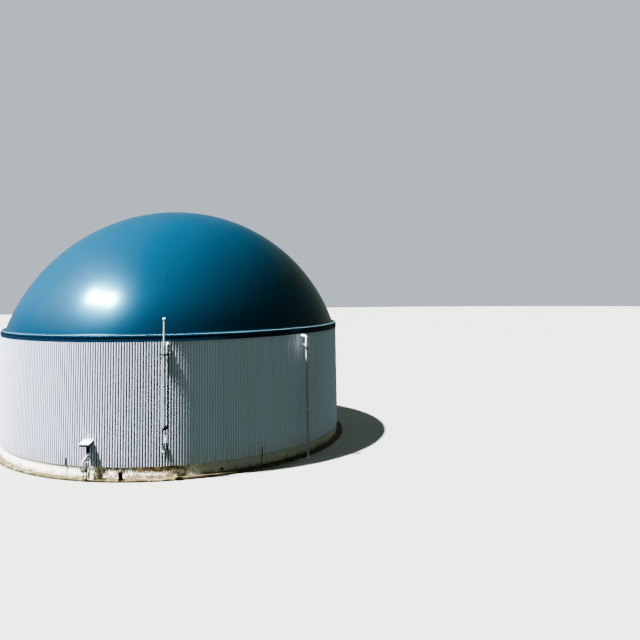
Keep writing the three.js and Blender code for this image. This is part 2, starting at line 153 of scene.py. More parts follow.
class Edit:
    """Edit mode on one piece, entered and left as a with block."""

    def __init__(self, piece: Piece) -> None:
        """Remember the piece to edit."""
        self.piece = piece

    def __enter__(self) -> "Edit":
        """Enter edit mode with the whole mesh selected."""
        take_up(self.piece)
        bpy.ops.object.mode_set(mode="EDIT")
        self.all()
        return self

    def __exit__(self, *_: Any) -> None:
        """Go back to object mode."""
        bpy.ops.object.mode_set(mode="OBJECT")

    def all(self) -> None:
        """Select the whole mesh by its vertices."""
        bpy.ops.mesh.select_mode(type="VERT")
        bpy.ops.mesh.select_all(action="SELECT")

    def pick(self, kind: Kind, test: PlaceTest) -> None:
        """Select the parts whose middle and normal pass a test.

        Args:
            kind: Vertices or faces.
            test: Called with each part's middle and its normal.
        """
        bpy.ops.mesh.select_mode(type=kind.value)
        bpy.ops.mesh.select_all(action="DESELECT")
        mesh = bmesh.from_edit_mesh(self.piece.data)
        if kind is Kind.FACE:
            for face in mesh.faces:
                face.select_set(test(face.calc_center_median(), face.normal))
        else:
            for vertex in mesh.verts:
                vertex.select_set(test(vertex.co, vertex.normal))
        mesh.select_flush_mode()
        bmesh.update_edit_mesh(self.piece.data)

    def pick_facing(self, way: Sequence[float]) -> None:
        """Select the faces that look along an axis."""
        self.pick(Kind.FACE, lambda middle, normal: normal.dot(Vector(way)) > SQUARE_ON)

    def extrude(self, move: Sequence[float]) -> None:
        """Extrude what is selected and move it."""
        bpy.ops.mesh.extrude_region_move(TRANSFORM_OT_translate={"value": tuple(move)})

    def shift(self, move: Sequence[float]) -> None:
        """Move what is selected."""
        bpy.ops.transform.translate(value=tuple(move))

    def inset(self, thickness: float, depth: float = 0.0, each: bool = False) -> None:
        """Inset the selected faces, together or each alone, and sink or raise them by a depth."""
        bpy.ops.mesh.inset(thickness=thickness, depth=depth, use_individual=each)

    def delete(self, kind: Kind = Kind.FACE) -> None:
        """Delete what is selected."""
        bpy.ops.mesh.delete(type=kind.value)

    def spin(
        self, angle: float, steps: int, centre: Sequence[float] = (0, 0, 0), axis: Sequence[float] = UP,
        copies: bool = False,
    ) -> None:
        """Sweep or copy what is selected round an axis.

        Args:
            angle: The whole angle in radians, right-handed about the axis.
            steps: How many steps or copies it takes.
            centre: A point on the axis.
            axis: The direction of the axis.
            copies: Whether separate copies are made, and not a swept surface.
        """
        bpy.ops.mesh.spin(steps=steps, angle=-angle, center=tuple(centre), axis=tuple(axis), dupli=copies)

    def merge(self, distance: float = 1e-5) -> None:
        """Merge doubled vertices of the whole mesh."""
        self.all()
        bpy.ops.mesh.remove_doubles(threshold=distance)

    def face_out(self) -> None:
        """Turn all faces outwards."""
        self.all()
        bpy.ops.mesh.normals_make_consistent(inside=False)

    def close_ends(self) -> None:
        """Fill every open end."""
        self.all()
        bpy.ops.mesh.fill_holes(sides=0)


def add_modifier(piece: Piece, kind: str, **settings: Any) -> Piece:
    """Add a modifier, set it and apply it.

    Args:
        piece: The piece to change.
        kind: The modifier's type, in Blender's word.
        settings: Its settings by name.

    Returns:
        The same piece.
    """
    take_up(piece)
    modifier = piece.modifiers.new(kind.lower(), kind)
    for name, value in settings.items():
        setattr(modifier, name, value)
    bpy.ops.object.modifier_apply(modifier=modifier.name)
    return piece


def round_edges(piece: Piece, width: float, segments: int = 2) -> Piece:
    """Round a piece's sharp edges."""
    limits = {"limit_method": "ANGLE", "angle_limit": math.radians(32)}
    return add_modifier(piece, "BEVEL", width=width, segments=segments, **limits)


def thicken(piece: Piece, thickness: float) -> Piece:
    """Give an open skin its thickness, inwards from its face."""
    return add_modifier(piece, "SOLIDIFY", thickness=thickness, offset=-1)


def turn_out(skin: Piece) -> Piece:
    """Flip the faces of an open skin that look towards the tank's axis."""
    with Edit(skin) as edit:
        edit.pick(Kind.FACE, lambda middle, normal: normal.x * middle.x + normal.y * middle.y < 0)
        bpy.ops.mesh.flip_normals()
    return skin


def draw_line(name: str, points: Sequence[Sequence[float]]) -> Piece:
    """Draw a line of edges, one vertex extruded on from point to point.

    Args:
        name: The new piece's name.
        points: The points, in metres. A line that ends where it starts is closed.

    Returns:
        The line as a mesh object.
    """
    clear_selection()
    bpy.ops.mesh.primitive_plane_add(size=0.01, location=tuple(points[0]))
    line = settle(bpy.context.object)
    line.name = name
    with Edit(line) as edit:
        bpy.ops.mesh.merge(type="CENTER")
        for before, after in zip(points, points[1:]):
            edit.extrude(Vector(after) - Vector(before))
        edit.merge()
    return line


def lathe(name: str, outline: Outline, sides: int, turn: float = FULL_TURN) -> Piece:
    """Turn an outline of radius and height about the Z axis.

    Args:
        name: The new piece's name.
        outline: Pairs of radius and height. It ends on the axis or where it starts.
        sides: Steps round the turn.
        turn: The angle it sweeps, in radians.

    Returns:
        A closed round body about the Z axis, or an arc with closed ends.
    """
    body = draw_line(name, [(0, -radius, height) for radius, height in outline])
    with Edit(body) as edit:
        edit.spin(turn, sides)
        edit.merge()
        if turn < FULL_TURN:
            edit.close_ends()
        edit.face_out()
    return body


def stand(piece: Piece, at: Point, axis: Sequence[float] = UP) -> Piece:
    """Stand a piece drawn about the Z axis at a point, its Z turned to an axis."""
    piece.location = at
    piece.rotation_euler = Vector(UP).rotation_difference(Vector(axis)).to_euler()
    return settle(piece)


def turned(name: str, outline: Outline, sides: int, at: Point, axis: Sequence[float] = UP) -> Piece:
    """Turn an outline about the Z axis, and stand the body at a point along an axis."""
    return stand(lathe(name, outline, sides), at, axis)


def disc(radius: float, low: float, high: float) -> Outline:
    """Outline of a plain round body between two heights."""
    return [(0, low), (radius, low), (radius, high), (0, high)]


def rim(radius: float, low: float, high: float, chamfer: float = 0.002) -> Outline:
    """Chamfered outer edge of a flange between two heights."""
    wide = radius - chamfer
    return [(wide, low), (radius, low + chamfer), (radius, high - chamfer), (wide, high)]


def raised(radius: float, low: float, high: float, proud: float, slope: float) -> Outline:
    """Outline of a band that stands proud of a pipe, with a slope at both ends."""
    top = radius + proud
    return [(radius, low), (top, low + slope), (top, high - slope), (radius, high)]


def hoop(inner: float, outer: float, low: float, high: float) -> Outline:
    """Closed outline of a plain hoop."""
    return [(inner, low), (outer, low), (outer, high), (inner, high), (inner, low)]


def closed(outline: Outline) -> Outline:
    """Outline that ends where it starts."""
    return [*outline, outline[0]]


def mirrored(half: Outline, length: float) -> Outline:
    """Outline whose second half mirrors the first over a length."""
    return [*half, *((radius, length - height) for radius, height in reversed(half))]


def block(name: str, low: Point, high: Point, rounding: float = 0.0) -> Piece:
    """Box between two corners, with rounded edges.

    Args:
        name: The new piece's name.
        low: The lowest corner.
        high: The highest corner.
        rounding: Width of the rounded edges, or 0.

    Returns:
        The box.
    """
    clear_selection()
    middle = [(a + b) / 2 for a, b in zip(low, high)]
    extent = [b - a for a, b in zip(low, high)]
    bpy.ops.mesh.primitive_cube_add(size=1, location=middle, scale=extent)
    box = settle(bpy.context.object)
    box.name = name
    return round_edges(box, rounding) if rounding else box


def bent_pipe(name: str, corners: Sequence[Point], radius: float, bend: float, sides: int = 32) -> Piece:
    """Round pipe along straight legs, with a round bend at each inner corner.

    Args:
        name: The new piece's name.
        corners: The points where its legs meet, ends included.
        radius: The pipe's outer radius.
        bend: Radius of its centre line in the bends.
        sides: Sides of its section.

    Returns:
        The pipe, closed at both ends.
    """
    points = [Vector(corner) for corner in corners]
    legs = [(after - before).normalized() for before, after in zip(points, points[1:])]
    clear_selection()
    bpy.ops.mesh.primitive_circle_add(vertices=sides, radius=radius, fill_type="NOTHING")
    pipe = stand(bpy.context.object, tuple(points[0]), legs[0])
    pipe.name = name
    with Edit(pipe) as edit:
        here = points[0]
        for corner, before, after in zip(points[1:-1], legs, legs[1:]):
            turn = before.angle(after)
            set_back = bend * math.tan(turn / 2)
            start = corner - before * set_back
            axis = before.cross(after).normalized()
            edit.extrude(start - here)
            steps = max(6, round(math.degrees(turn) / BEND_STEP))
            edit.spin(turn, steps, start + axis.cross(before) * bend, axis)
            here = corner + after * set_back
        edit.extrude(points[-1] - here)
        edit.close_ends()
        edit.face_out()
    return pipe


def joined(name: str, pieces: Sequence[Piece]) -> Piece:
    """Join pieces into one mesh under a name."""
    take_up(pieces[0])
    for piece in pieces:
        piece.select_set(True)
    bpy.ops.object.join()
    whole = bpy.context.object
    whole.name = name
    return whole


def copies_round(
    piece: Piece, count: int, step: float, centre: Point = (0, 0, 0), axis: Sequence[float] = UP
) -> Piece:
    """Repeat a piece's mesh round an axis.

    Args:
        piece: The piece to repeat.
        count: How many there are in all.
        step: Radians from one to the next.
        centre: A point on the axis.
        axis: The direction of the axis.

    Returns:
        The same piece, now holding every copy.
    """
    with Edit(piece) as edit:
        edit.spin(step * (count - 1), count - 1, centre, axis, copies=True)
    return piece


def copies_along(piece: Piece, moves: Sequence[Point]) -> Piece:
    """Repeat a piece's mesh at each of the given moves from its first place."""
    with Edit(piece) as edit:
        before = Vector((0, 0, 0))
        for move in moves:
            bpy.ops.mesh.duplicate_move(TRANSFORM_OT_translate={"value": tuple(Vector(move) - before)})
            before = Vector(move)
        edit.all()
    return piece


def hexagon_bolt(name: str, at: Point, facing: Sequence[float], across: float, sides: int = 12) -> Piece:
    """Hexagon bolt head on its washer.

    Args:
        name: The new piece's name.
        at: Where the washer seats.
        facing: The way that the head points.
        across: Width of the head over its corners.
        sides: Sides of the washer.

    Returns:
        Washer and chamfered head as one piece.
    """
    wide, thick, tall = across * 0.72, across * 0.13, across * 0.42
    outline = [(0, 0), (wide, 0), (wide, thick * 0.7), (across * 0.66, thick), (0, thick)]
    washer = lathe(name, outline, sides)
    clear_selection()
    middle = (0, 0, thick + tall / 2)
    bpy.ops.mesh.primitive_cylinder_add(vertices=6, radius=across / 2, depth=tall, location=middle)
    head = settle(bpy.context.object)
    with Edit(head) as edit:
        edit.pick_facing(UP)
        edit.inset(across * 0.07, across * 0.04)
    return stand(joined(name, [washer, head]), at, facing)


def bolts_at(
    name: str, places: Sequence[Point], facing: Sequence[float], across: float, sides: int = 12
) -> List[Piece]:
    """One hexagon bolt at each place, all facing the same way."""
    return [hexagon_bolt(name, place, facing, across, sides) for place in places]


def bolt_circle(
    name: str, centre: Point, facing: Sequence[float], circle: float, count: int, across: float
) -> Piece:
    """Ring of hexagon bolts on a flange.

    Args:
        name: The new piece's name.
        centre: The flange's middle, on its face.
        facing: The way that the flange faces.
        circle: Radius of the bolt circle.
        count: How many bolts it has.
        across: Width of each head.

    Returns:
        All the bolts as one piece.
    """
    axis = Vector(facing).normalized()
    side = axis.cross(Vector(UP))
    if side.length < 0.1:
        side = Vector((1, 0, 0))
    first = Vector(centre) + side.normalized() * circle
    bolt = hexagon_bolt(name, tuple(first), facing, across)
    return copies_round(bolt, count, FULL_TURN / count, centre, axis)


class Nodes:
    """A node tree whose nodes are added and joined in short words."""

    def __init__(self, tree: bpy.types.NodeTree) -> None:
        """Remember the tree."""
        self.tree = tree

    def put(self, kind: str, inputs: Dict[Union[str, int], Any], **settings: Any) -> bpy.types.Node:
        """Add a node.

        Args:
            kind: The node's type after "ShaderNode".
            inputs: A value or another node's socket for each input, by name or number.
            settings: Its other settings.

        Returns:
            The node.
        """
        node = self.tree.nodes.new("ShaderNode" + kind)
        for name, value in settings.items():
            setattr(node, name, value)
        for key, value in inputs.items():
            if isinstance(value, bpy.types.NodeSocket):
                self.tree.links.new(value, node.inputs[key])
            else:
                node.inputs[key].default_value = value
        return node

    def math(self, operation: str, first: Any, second: Any = 0.0) -> Socket:
        """Result of a sum on two values."""
        return self.put("Math", {0: first, 1: second}, operation=operation).outputs[0]

    def times(self, *factors: Any) -> Socket:
        """Product of two or more values."""
        product = factors[0]
        for factor in factors[1:]:
            product = self.math("MULTIPLY", product, factor)
        return product

    def span(
        self, value: Socket, low: float, high: float, first: float = 0.0, last: float = 1.0,
        way: str = "SMOOTHSTEP",
    ) -> Socket:
        """Map a value between two limits to another range, smoothly unless told otherwise."""
        inputs = {"Value": value, "From Min": low, "From Max": high, "To Min": first, "To Max": last}
        return self.put("MapRange", inputs, interpolation_type=way).outputs[0]


class Wiring(Nodes):
    """The nodes of one material."""

    def __init__(self, name: str, **constants: Any) -> None:
        """Start a material and set what is the same all over its surface."""
        self.material = bpy.data.materials.new(name)
        self.material.use_nodes = True
        super().__init__(self.material.node_tree)
        self.shader = self.tree.nodes["Principled BSDF"]
        for key, value in constants.items():
            self.shader.inputs[key.replace("_", " ")].default_value = value

    def place(self, shade_band: Point = (1, 1, 1)) -> Socket:
        """The surface's own place, stretched along the axes."""
        source = self.put("TexCoord", {}).outputs["Object"]
        return self.put("Mapping", {"Vector": source, "Scale": shade_band}).outputs[0]

    def axes(self) -> Sequence[Socket]:
        """The surface's own X, Y and Z."""
        return self.put("SeparateXYZ", {0: self.place()}).outputs

    def round_tank(self) -> Tuple[Socket, Socket, Socket, Socket]:
        """The surface's angle round the tank, its distance from the axis, its height and its flat place."""
        x, y, z = self.axes()
        angle = self.math("ARCTAN2", x, self.math("MULTIPLY", y, -1.0))
        flat = self.put("CombineXYZ", {0: x, 1: y}).outputs[0]
        radius = self.put("VectorMath", {0: flat}, operation="LENGTH").outputs["Value"]
        return angle, radius, z, flat

    def fade(self, angle: Socket, start: float, end: float, first: float = 0.0, last: float = 1.0) -> Socket:
        """Map an angle between two stations, smoothly, to another range."""
        return self.span(angle, math.radians(start), math.radians(end), first, last)

    def tone(self, angle: Socket, panels: int) -> Socket:
        """One tone from 0 to 1 for each of many equal panels round the tank."""
        panel = self.math("FLOOR", self.times(angle, panels / FULL_TURN))
        return self.put("TexWhiteNoise", {"W": panel}, noise_dimensions="1D").outputs["Value"]

    def noise(self, shade_band: Point, detail: float = 3.0, roughness: float = 0.55) -> Socket:
        """Cloudy noise from 0 to 1 whose grain has the given number of cells a metre."""
        inputs = {"Vector": self.place(shade_band), "Scale": 1.0, "Detail": detail, "Roughness": roughness}
        return self.put("TexNoise", inputs).outputs[0]

    def cells(self, per_metre: float) -> Socket:
        """Distance to the nearest of many scattered points."""
        inputs = {"Vector": self.place(), "Scale": per_metre}
        return self.put("TexVoronoi", inputs).outputs["Distance"]

    def mix(self, factor: Any, first: Any, second: Any) -> Socket:
        """Mix two colours or sockets, with a factor of 0 for all of the first and 1 for all of the second."""
        colours = [value if isinstance(value, Socket) else (*value, 1.0) for value in (first, second)]
        inputs = {0: factor, 6: colours[0], 7: colours[1]}
        return self.put("Mix", inputs, data_type="RGBA").outputs[2]

    def bump(
        self, height: Socket, distance: float, strength: float = 1.0, below: Optional[Socket] = None
    ) -> Socket:
        """Normal of a bumpy surface, on top of another one where it is given."""
        inputs: Dict[Union[str, int], Any] = {"Height": height, "Distance": distance, "Strength": strength}
        if below is not None:
            inputs["Normal"] = below
        return self.put("Bump", inputs).outputs[0]

    def close(
        self, colour: Socket, roughness: Optional[Socket] = None, normal: Optional[Socket] = None
    ) -> None:
        """Join the finished colour, roughness and normal to the shader."""
        for name, socket in (("Base Color", colour), ("Roughness", roughness), ("Normal", normal)):
            if socket is not None:
                self.tree.links.new(socket, self.shader.inputs[name])


@dataclass(frozen=True)
class Finish:
    """A finish by name, with the record's slot that it belongs to."""

    name: str
    slot: Slot

    def wire(self) -> Wiring:
        """Make the material's nodes."""
        raise NotImplementedError

    def material(self) -> bpy.types.Material:
        """The finish's material, made the first time that it is asked for."""
        made = bpy.data.materials.get(self.name)
        return made if made is not None else self.wire().material


@dataclass(frozen=True)
class CoatedSheet(Finish):
    """Coil-coated cladding sheet with faint upright streaks, a splashed foot, and painted shade that darkens
    its valleys, strongest where the key light grazes the ribs.
    """

    base: Colour = (0.70, 0.765, 0.97)
    streak: Colour = (0.52, 0.55, 0.62)
    splash: Colour = (0.34, 0.31, 0.24)
    valley_painted_shade: Colour = (0.055, 0.055, 0.050)
    valley_low: float = 10.622
    valley_high: float = 10.652
    lit_share: float = 0.60
    shade_share: float = 0.25
    lee_shade_from: float = -42.0
    lee_shade_to: float = -20.0
    past_from: float = -5.0
    past_to: float = 4.0
    behind_from: float = 140.0
    sheets: int = 61
    foot: float = PLINTH_TOP

    def wire(self) -> Wiring:
        """Make the material's nodes."""
        w = Wiring(self.name, Metallic=0.0, Specular_IOR_Level=0.12)
        angle, radius, z, _ = w.round_tank()
        colour = w.mix(w.times(w.tone(angle, self.sheets), 0.10), self.base, self.streak)
        run = w.noise((9.0, 9.0, 0.30), 4.0)
        colour = w.mix(w.span(run, 0.50, 0.80, 0.0, 0.45), colour, self.streak)
        near_foot = w.span(z, self.foot, self.foot + 0.9, 1.0, 0.0)
        spots = w.noise((5.0, 5.0, 2.2), 5.0, 0.65)
        colour = w.mix(w.times(near_foot, w.span(spots, 0.35, 0.75, 0.05, 0.50)), colour, self.splash)
        under_band = w.times(w.span(z, 6.1, 6.7), w.span(run, 0.45, 0.62, 0.0, 0.28))
        colour = w.mix(under_band, colour, self.streak)
        # Painted shade: the valleys are darkened, more where the key light grazes the ribs, less past its
        # terminator, and partly again towards the back.
        lee_shade = w.fade(angle, self.lee_shade_from, self.lee_shade_to, self.lit_share, 1.0)
        past = w.fade(angle, self.past_from, self.past_to, 1.0, self.shade_share)
        behind = w.fade(angle, self.behind_from, BACK_STATION, 0.0, self.lit_share - self.shade_share)
        valley = w.span(radius, self.valley_low, self.valley_high, 1.0, 0.0)
        dusty = w.times(w.math("ADD", w.times(lee_shade, past), behind), valley)
        colour = w.mix(dusty, colour, self.valley_painted_shade)
        roughness = w.span(w.noise((3.0, 3.0, 1.0)), 0.2, 0.8, 0.38, 0.55)
        dents = w.bump(w.noise((1.6, 1.6, 0.5), 1.0), 0.002, 0.4)
        w.close(colour, roughness, w.bump(w.noise((260.0, 260.0, 260.0), 2.0), 0.0001, 0.2, dents))
        return w


@dataclass(frozen=True)
class Membrane(Finish):
    """Coated fabric membrane, glossy, with faint dust down from the crown and painted shade that darkens it
    towards its foot.
    """

    base: Colour = (0.0, 0.041, 0.080)
    dust: Colour = (0.0, 0.080, 0.120)
    foot_shade: Colour = (0.0, 0.010, 0.026)
    foot_shade_low: float = 6.9
    foot_shade_high: float = 9.2
    foot_shade_share: float = 0.0
    sheen_tint: Colour = (0.0, 0.42, 1.0)
    sheen_level: float = 0.03
    gloss: float = 0.31
    lacquer: float = 0.5
    lacquer_roughness: float = 0.155
    gores: int = 28
    dusty: float = 0.12
    weave_per_metre: float = 900.0

    def wire(self) -> Wiring:
        """Make the material's nodes."""
        w = Wiring(
            self.name, Metallic=0.0, Coat_IOR=1.33, Coat_Weight=self.lacquer,
            Coat_Roughness=self.lacquer_roughness, Specular_IOR_Level=self.sheen_level,
            Specular_Tint=(*self.sheen_tint, 1.0),
        )
        angle, _, z, flat = w.round_tank()
        outwards = w.put("VectorMath", {0: flat}, operation="NORMALIZE").outputs[0]
        around = w.put("VectorMath", {0: outwards, "Scale": 60.0}, operation="SCALE").outputs[0]
        height = w.put("CombineXYZ", {2: w.times(z, 0.35)}).outputs[0]
        along = w.put("VectorMath", {0: around, 1: height}, operation="ADD").outputs[0]
        run = w.put("TexNoise", {"Vector": along, "Scale": 1.0, "Detail": 4.0}).outputs[0]
        cloud = w.noise((0.5, 0.5, 0.5), 4.0)
        colour = w.mix(w.times(w.tone(angle, self.gores), 0.05), self.base, self.dust)
        dusted = w.times(w.span(run, 0.40, 0.75), w.span(cloud, 0.35, 0.70, 0.3, 1.0))
        colour = w.mix(w.times(dusted, self.dusty), colour, self.dust)
        # Painted shade: the colour darkens towards the membrane's foot.
        colour = w.mix(w.span(z, self.foot_shade_low, self.foot_shade_high, self.foot_shade_share, 0.0), colour, self.foot_shade)
        roughness = w.math("ADD", w.span(cloud, 0.2, 0.8, -0.02, 0.03), self.gloss)
        waves = w.bump(w.noise((0.8, 0.8, 0.8), 1.0), 0.010, 0.12)
        weave = w.noise((self.weave_per_metre,) * 3, 1.0)
        w.close(colour, roughness, w.bump(weave, 0.0002, 0.10, waves))
        return w


@dataclass(frozen=True)
class Concrete(Finish):
    """Cast concrete with pores, upright stains and soil at its foot, painted shade over its shaded side, and
    a warm band of painted shade under the sheets' overhang.
    """

    base: Colour = (0.84, 0.80, 0.72)
    pale: Colour = (0.94, 0.92, 0.89)
    pale_from: float = 0.35
    pale_to: float = 0.65
    stain_and_shade: Colour = (0.60, 0.46, 0.22)
    soil: Colour = (0.16, 0.12, 0.07)
    soil_low: float = 0.05
    soil_high: float = 0.30
    shade_band_station: float = -6.0
    shade_band_reach: float = 7.0
    shade_band_low: float = 0.37
    clean_to: float = -30.0
    clean_share: float = 0.45
    behind_from: float = 130.0
    painted_shade: Colour = (0.46, 0.42, 0.38)
    painted_shade_start: float = 0.0
    painted_shade_end: float = 9.0
    rim_low: float = 20.0
    rim_high: float = 21.0

    def wire(self) -> Wiring:
        """Make the material's nodes."""
        w = Wiring(self.name, Metallic=0.0, Specular_IOR_Level=0.25)
        angle, radius, z, _ = w.round_tank()
        cloud = w.noise((1.3, 1.3, 2.5), 6.0, 0.65)
        colour = w.mix(w.span(cloud, self.pale_from, self.pale_to), self.base, self.pale)
        # Painted shade: a warm brown band high on the plinth round one station, where the sheets' overhang
        # casts its shade. Its colour is shared with the real stain streaks.
        off = w.math("ABSOLUTE", w.math("SUBTRACT", angle, math.radians(self.shade_band_station)))
        shade_band = w.times(
            w.fade(off, self.shade_band_reach * 0.55, self.shade_band_reach, 0.82, 0.0),
            w.span(z, self.shade_band_low, self.shade_band_low + 0.07, 0.30, 1.0),
        )
        behind = w.fade(angle, self.behind_from, BACK_STATION, 1.0, 0.0)
        old = w.fade(angle, self.clean_to, self.clean_to + 12.0, 0.0, 1.0 - self.clean_share)
        weathered = w.math("ADD", w.times(old, behind), self.clean_share)
        run = w.noise((11.0, 11.0, 1.2), 4.0)
        streaks = w.times(w.span(run, 0.42, 0.66, 0.0, 0.85), w.span(cloud, 0.25, 0.55), weathered)
        colour = w.mix(w.math("MAXIMUM", shade_band, streaks), colour, self.stain_and_shade)
        mottle = w.span(w.noise((4.5, 4.5, 6.0), 6.0, 0.7), 0.47, 0.53)
        older = w.fade(angle, self.clean_to + 3.0, self.clean_to + 11.0)
        # The soil mottles fade out over the shaded side's stations, which lightens the painted shade there.
        soil_fade_in_shade = w.fade(angle, self.painted_shade_start, self.painted_shade_end, 1.0, 0.35)
        colour = w.mix(w.times(mottle, older, soil_fade_in_shade, behind), colour, self.soil)
        # Painted shade: the side past the key light's reach is darkened towards the painted shade colour.
        painted_shade = w.times(w.fade(angle, self.painted_shade_start, self.painted_shade_end, 0.0, 0.82), behind)
        colour = w.mix(w.times(painted_shade, w.span(cloud, 0.2, 0.6, 0.6, 1.0)), colour, self.painted_shade)
        patches = w.span(w.noise((3.2, 3.2, 3.2), 4.0, 0.6), 0.42, 0.60, 0.35, 1.0)
        colour = w.mix(w.times(w.span(radius, self.rim_low, self.rim_high), patches), colour, self.soil)
        edge = w.math("ADD", z, w.span(w.noise((4.0, 4.0, 4.0), 5.0), 0.3, 0.7, -0.12, 0.12))
        colour = w.mix(w.span(edge, self.soil_low, self.soil_high, 0.75, 0.0), colour, self.soil)
        pores = w.span(w.cells(38.0), 0.0, 0.35)
        skin = w.bump(w.noise((26.0, 26.0, 26.0), 6.0, 0.7), 0.004, 0.6)
        w.close(colour, w.span(cloud, 0.2, 0.8, 0.75, 0.92), w.bump(pores, 0.002, 0.5, skin))
        return w


@dataclass(frozen=True)
class Galvanised(Finish):
    """Hot-dip galvanised steel with a faint spangle, dull patches, and a near-black strip of painted shade
    down a pipe's shaded side under the band.
    """

    base: Colour = (0.74, 0.79, 0.82)
    dull: Colour = (0.50, 0.54, 0.56)
    metallic: float = 0.25
    lee_shade_from: float = 0.0
    lee_shade_to: float = 0.0
    lee_shade_low: float = 6.45
    lee_shade_high: float = 6.65
    lee_painted_shade: Colour = (0.010, 0.011, 0.013)

    def wire(self) -> Wiring:
        """Make the material's nodes."""
        w = Wiring(self.name, Metallic=self.metallic)
        patch = w.noise((5.0, 5.0, 2.0), 4.0)
        colour = w.mix(w.span(patch, 0.38, 0.70, 0.0, 0.7), self.base, self.dull)
        colour = w.mix(w.times(w.span(w.cells(70.0), 0.1, 0.8), 0.25), colour, self.dull)
        # Painted shade: a near-black strip down the pipe's side away from the key light, below the edge band.
        if self.lee_shade_to > self.lee_shade_from:
            x, _, z = w.axes()
            under_band = w.span(z, self.lee_shade_low, self.lee_shade_high, 1.0, 0.0)
            colour = w.mix(w.times(w.span(x, self.lee_shade_from, self.lee_shade_to), under_band), colour, self.lee_painted_shade)
        roughness = w.span(patch, 0.3, 0.7, 0.36, 0.58)
        w.close(colour, roughness, w.bump(w.noise((120.0, 120.0, 120.0), 2.0), 0.0005, 0.3))
        return w


@dataclass(frozen=True)
class Paint(Finish):
    """Painted or coated metal with a weathered tone, flecks and run marks."""

    base: Colour = (0.80, 0.80, 0.78)
    worn: Colour = (0.50, 0.49, 0.45)
    wear: float = 0.35
    gloss: float = 0.38
    specular: float = 0.35
    grain: float = 0.0006

    def wire(self) -> Wiring:
        """Make the material's nodes."""
        w = Wiring(self.name, Metallic=0.0, Specular_IOR_Level=self.specular)
        run = w.noise((24.0, 24.0, 3.0), 4.0)
        patch = w.noise((6.0, 6.0, 6.0), 5.0, 0.65)
        worn = w.times(w.span(run, 0.42, 0.70), w.span(patch, 0.35, 0.70, 0.2, 1.0), self.wear)
        colour = w.mix(worn, self.base, self.worn)
        fleck = w.span(w.noise((90.0, 90.0, 90.0), 3.0), 0.66, 0.74, 0.0, self.wear)
        colour = w.mix(fleck, colour, self.worn)
        roughness = w.math("ADD", w.span(patch, 0.2, 0.8, -0.06, 0.12), self.gloss)
        w.close(colour, roughness, w.bump(w.noise((150.0, 150.0, 150.0), 2.0), self.grain, 0.35))
        return w


@dataclass(frozen=True)
class Finishes:
    """Every finish on the tank."""

    sheet: Finish = CoatedSheet("cladding_coat", Slot.CLADDING)
    dome: Finish = Membrane("dome_fabric", Slot.MEMBRANE, foot_shade_share=0.62)
    seam: Finish = Membrane(
        "dome_seam_fabric", Slot.MEMBRANE, base=(0.0, 0.043, 0.083), gloss=0.33, foot_shade_share=0.62
    )
    # Painted reflection: the lip's hem is the membrane's fabric, painted far paler than the dome for the sky
    # that it reflects.
    lip: Finish = Membrane(
        "lip_fabric_painted_sky", Slot.EDGE, base=(0.09, 0.18, 0.22), dust=(0.20, 0.26, 0.29), sheen_level=0.3,
        lacquer=0.2, dusty=0.5,
    )
    flap: Finish = Membrane(
        "flap_fabric", Slot.EDGE, base=(0.0008, 0.0068, 0.018), dust=(0.002, 0.012, 0.024), sheen_level=0.10,
        lacquer=0.0, gloss=0.5, dusty=0.5,
    )
    rail: Finish = Paint(
        "rail_paint", Slot.EDGE, base=(0.002, 0.008, 0.016), worn=(0.006, 0.014, 0.022), wear=0.5,
        specular=0.15,
    )
    plinth: Finish = Concrete("plinth_concrete", Slot.CONCRETE)
    slab: Finish = Concrete(
        "slab_concrete", Slot.CONCRETE, base=(0.075, 0.066, 0.034), pale=(0.32, 0.29, 0.21),
        soil=(0.030, 0.025, 0.010), soil_low=0.0, soil_high=0.14, shade_band_reach=2.0, rim_low=10.62,
        rim_high=10.78, pale_from=0.56, pale_to=0.66, painted_shade=(0.06, 0.055, 0.04),
    )
    galvanised: Finish = Galvanised("galvanised_steel", Slot.GALVANISED)
    mast: Finish = Galvanised("mast_steel", Slot.GALVANISED, lee_shade_from=-0.664, lee_shade_to=-0.652)
    inlet: Finish = Galvanised("inlet_steel", Slot.GALVANISED, lee_shade_from=-0.490, lee_shade_to=-0.482)
    weathered: Finish = Galvanised(
        "weathered_steel", Slot.GALVANISED, base=(0.030, 0.032, 0.035), dull=(0.014, 0.015, 0.017),
        metallic=0.2,
    )
    pot: Finish = Galvanised("pot_steel", Slot.GALVANISED, base=(0.30, 0.31, 0.30), dull=(0.19, 0.20, 0.19))
    bolt: Finish = Galvanised("zinc_bolt", Slot.GALVANISED, base=(0.22, 0.23, 0.24), dull=(0.10, 0.10, 0.11))
    white: Finish = Paint("white_coat", Slot.WHITE)
    # Painted shade: the down pipe is the elbow's white-painted pipe, given a dark grey for the shade that it
    # stands in.
    outlet: Finish = Paint("down_pipe_painted_shade", Slot.WHITE, base=(0.33, 0.34, 0.34), worn=(0.24, 0.24, 0.23))
    cream: Finish = Paint(
        "cream_coat", Slot.WHITE, base=(0.66, 0.60, 0.45), worn=(0.46, 0.41, 0.29), wear=0.25
    )
    dark: Finish = Paint(
        "dark_coat", Slot.DARK, base=(0.006, 0.007, 0.009), worn=(0.018, 0.019, 0.021), gloss=0.62,
        specular=0.04,
    )
    box: Finish = Paint("box_coat", Slot.BOX, base=(0.12, 0.135, 0.105), worn=(0.20, 0.21, 0.17), gloss=0.48)
    brown: Finish = Paint(
        "pipe_plastic", Slot.BROWN, base=(0.0026, 0.0016, 0.0013), worn=(0.006, 0.0042, 0.0036), gloss=0.62,
        specular=0.0,
    )
    # Painted shade: the closure angle is near-black for the shade in the gap under the sheets.
    closure: Finish = Paint(
        "closure_painted_shade", Slot.CLADDING, base=(0.05, 0.055, 0.055), worn=(0.12, 0.12, 0.11)
    )


FINISHES = Finishes()


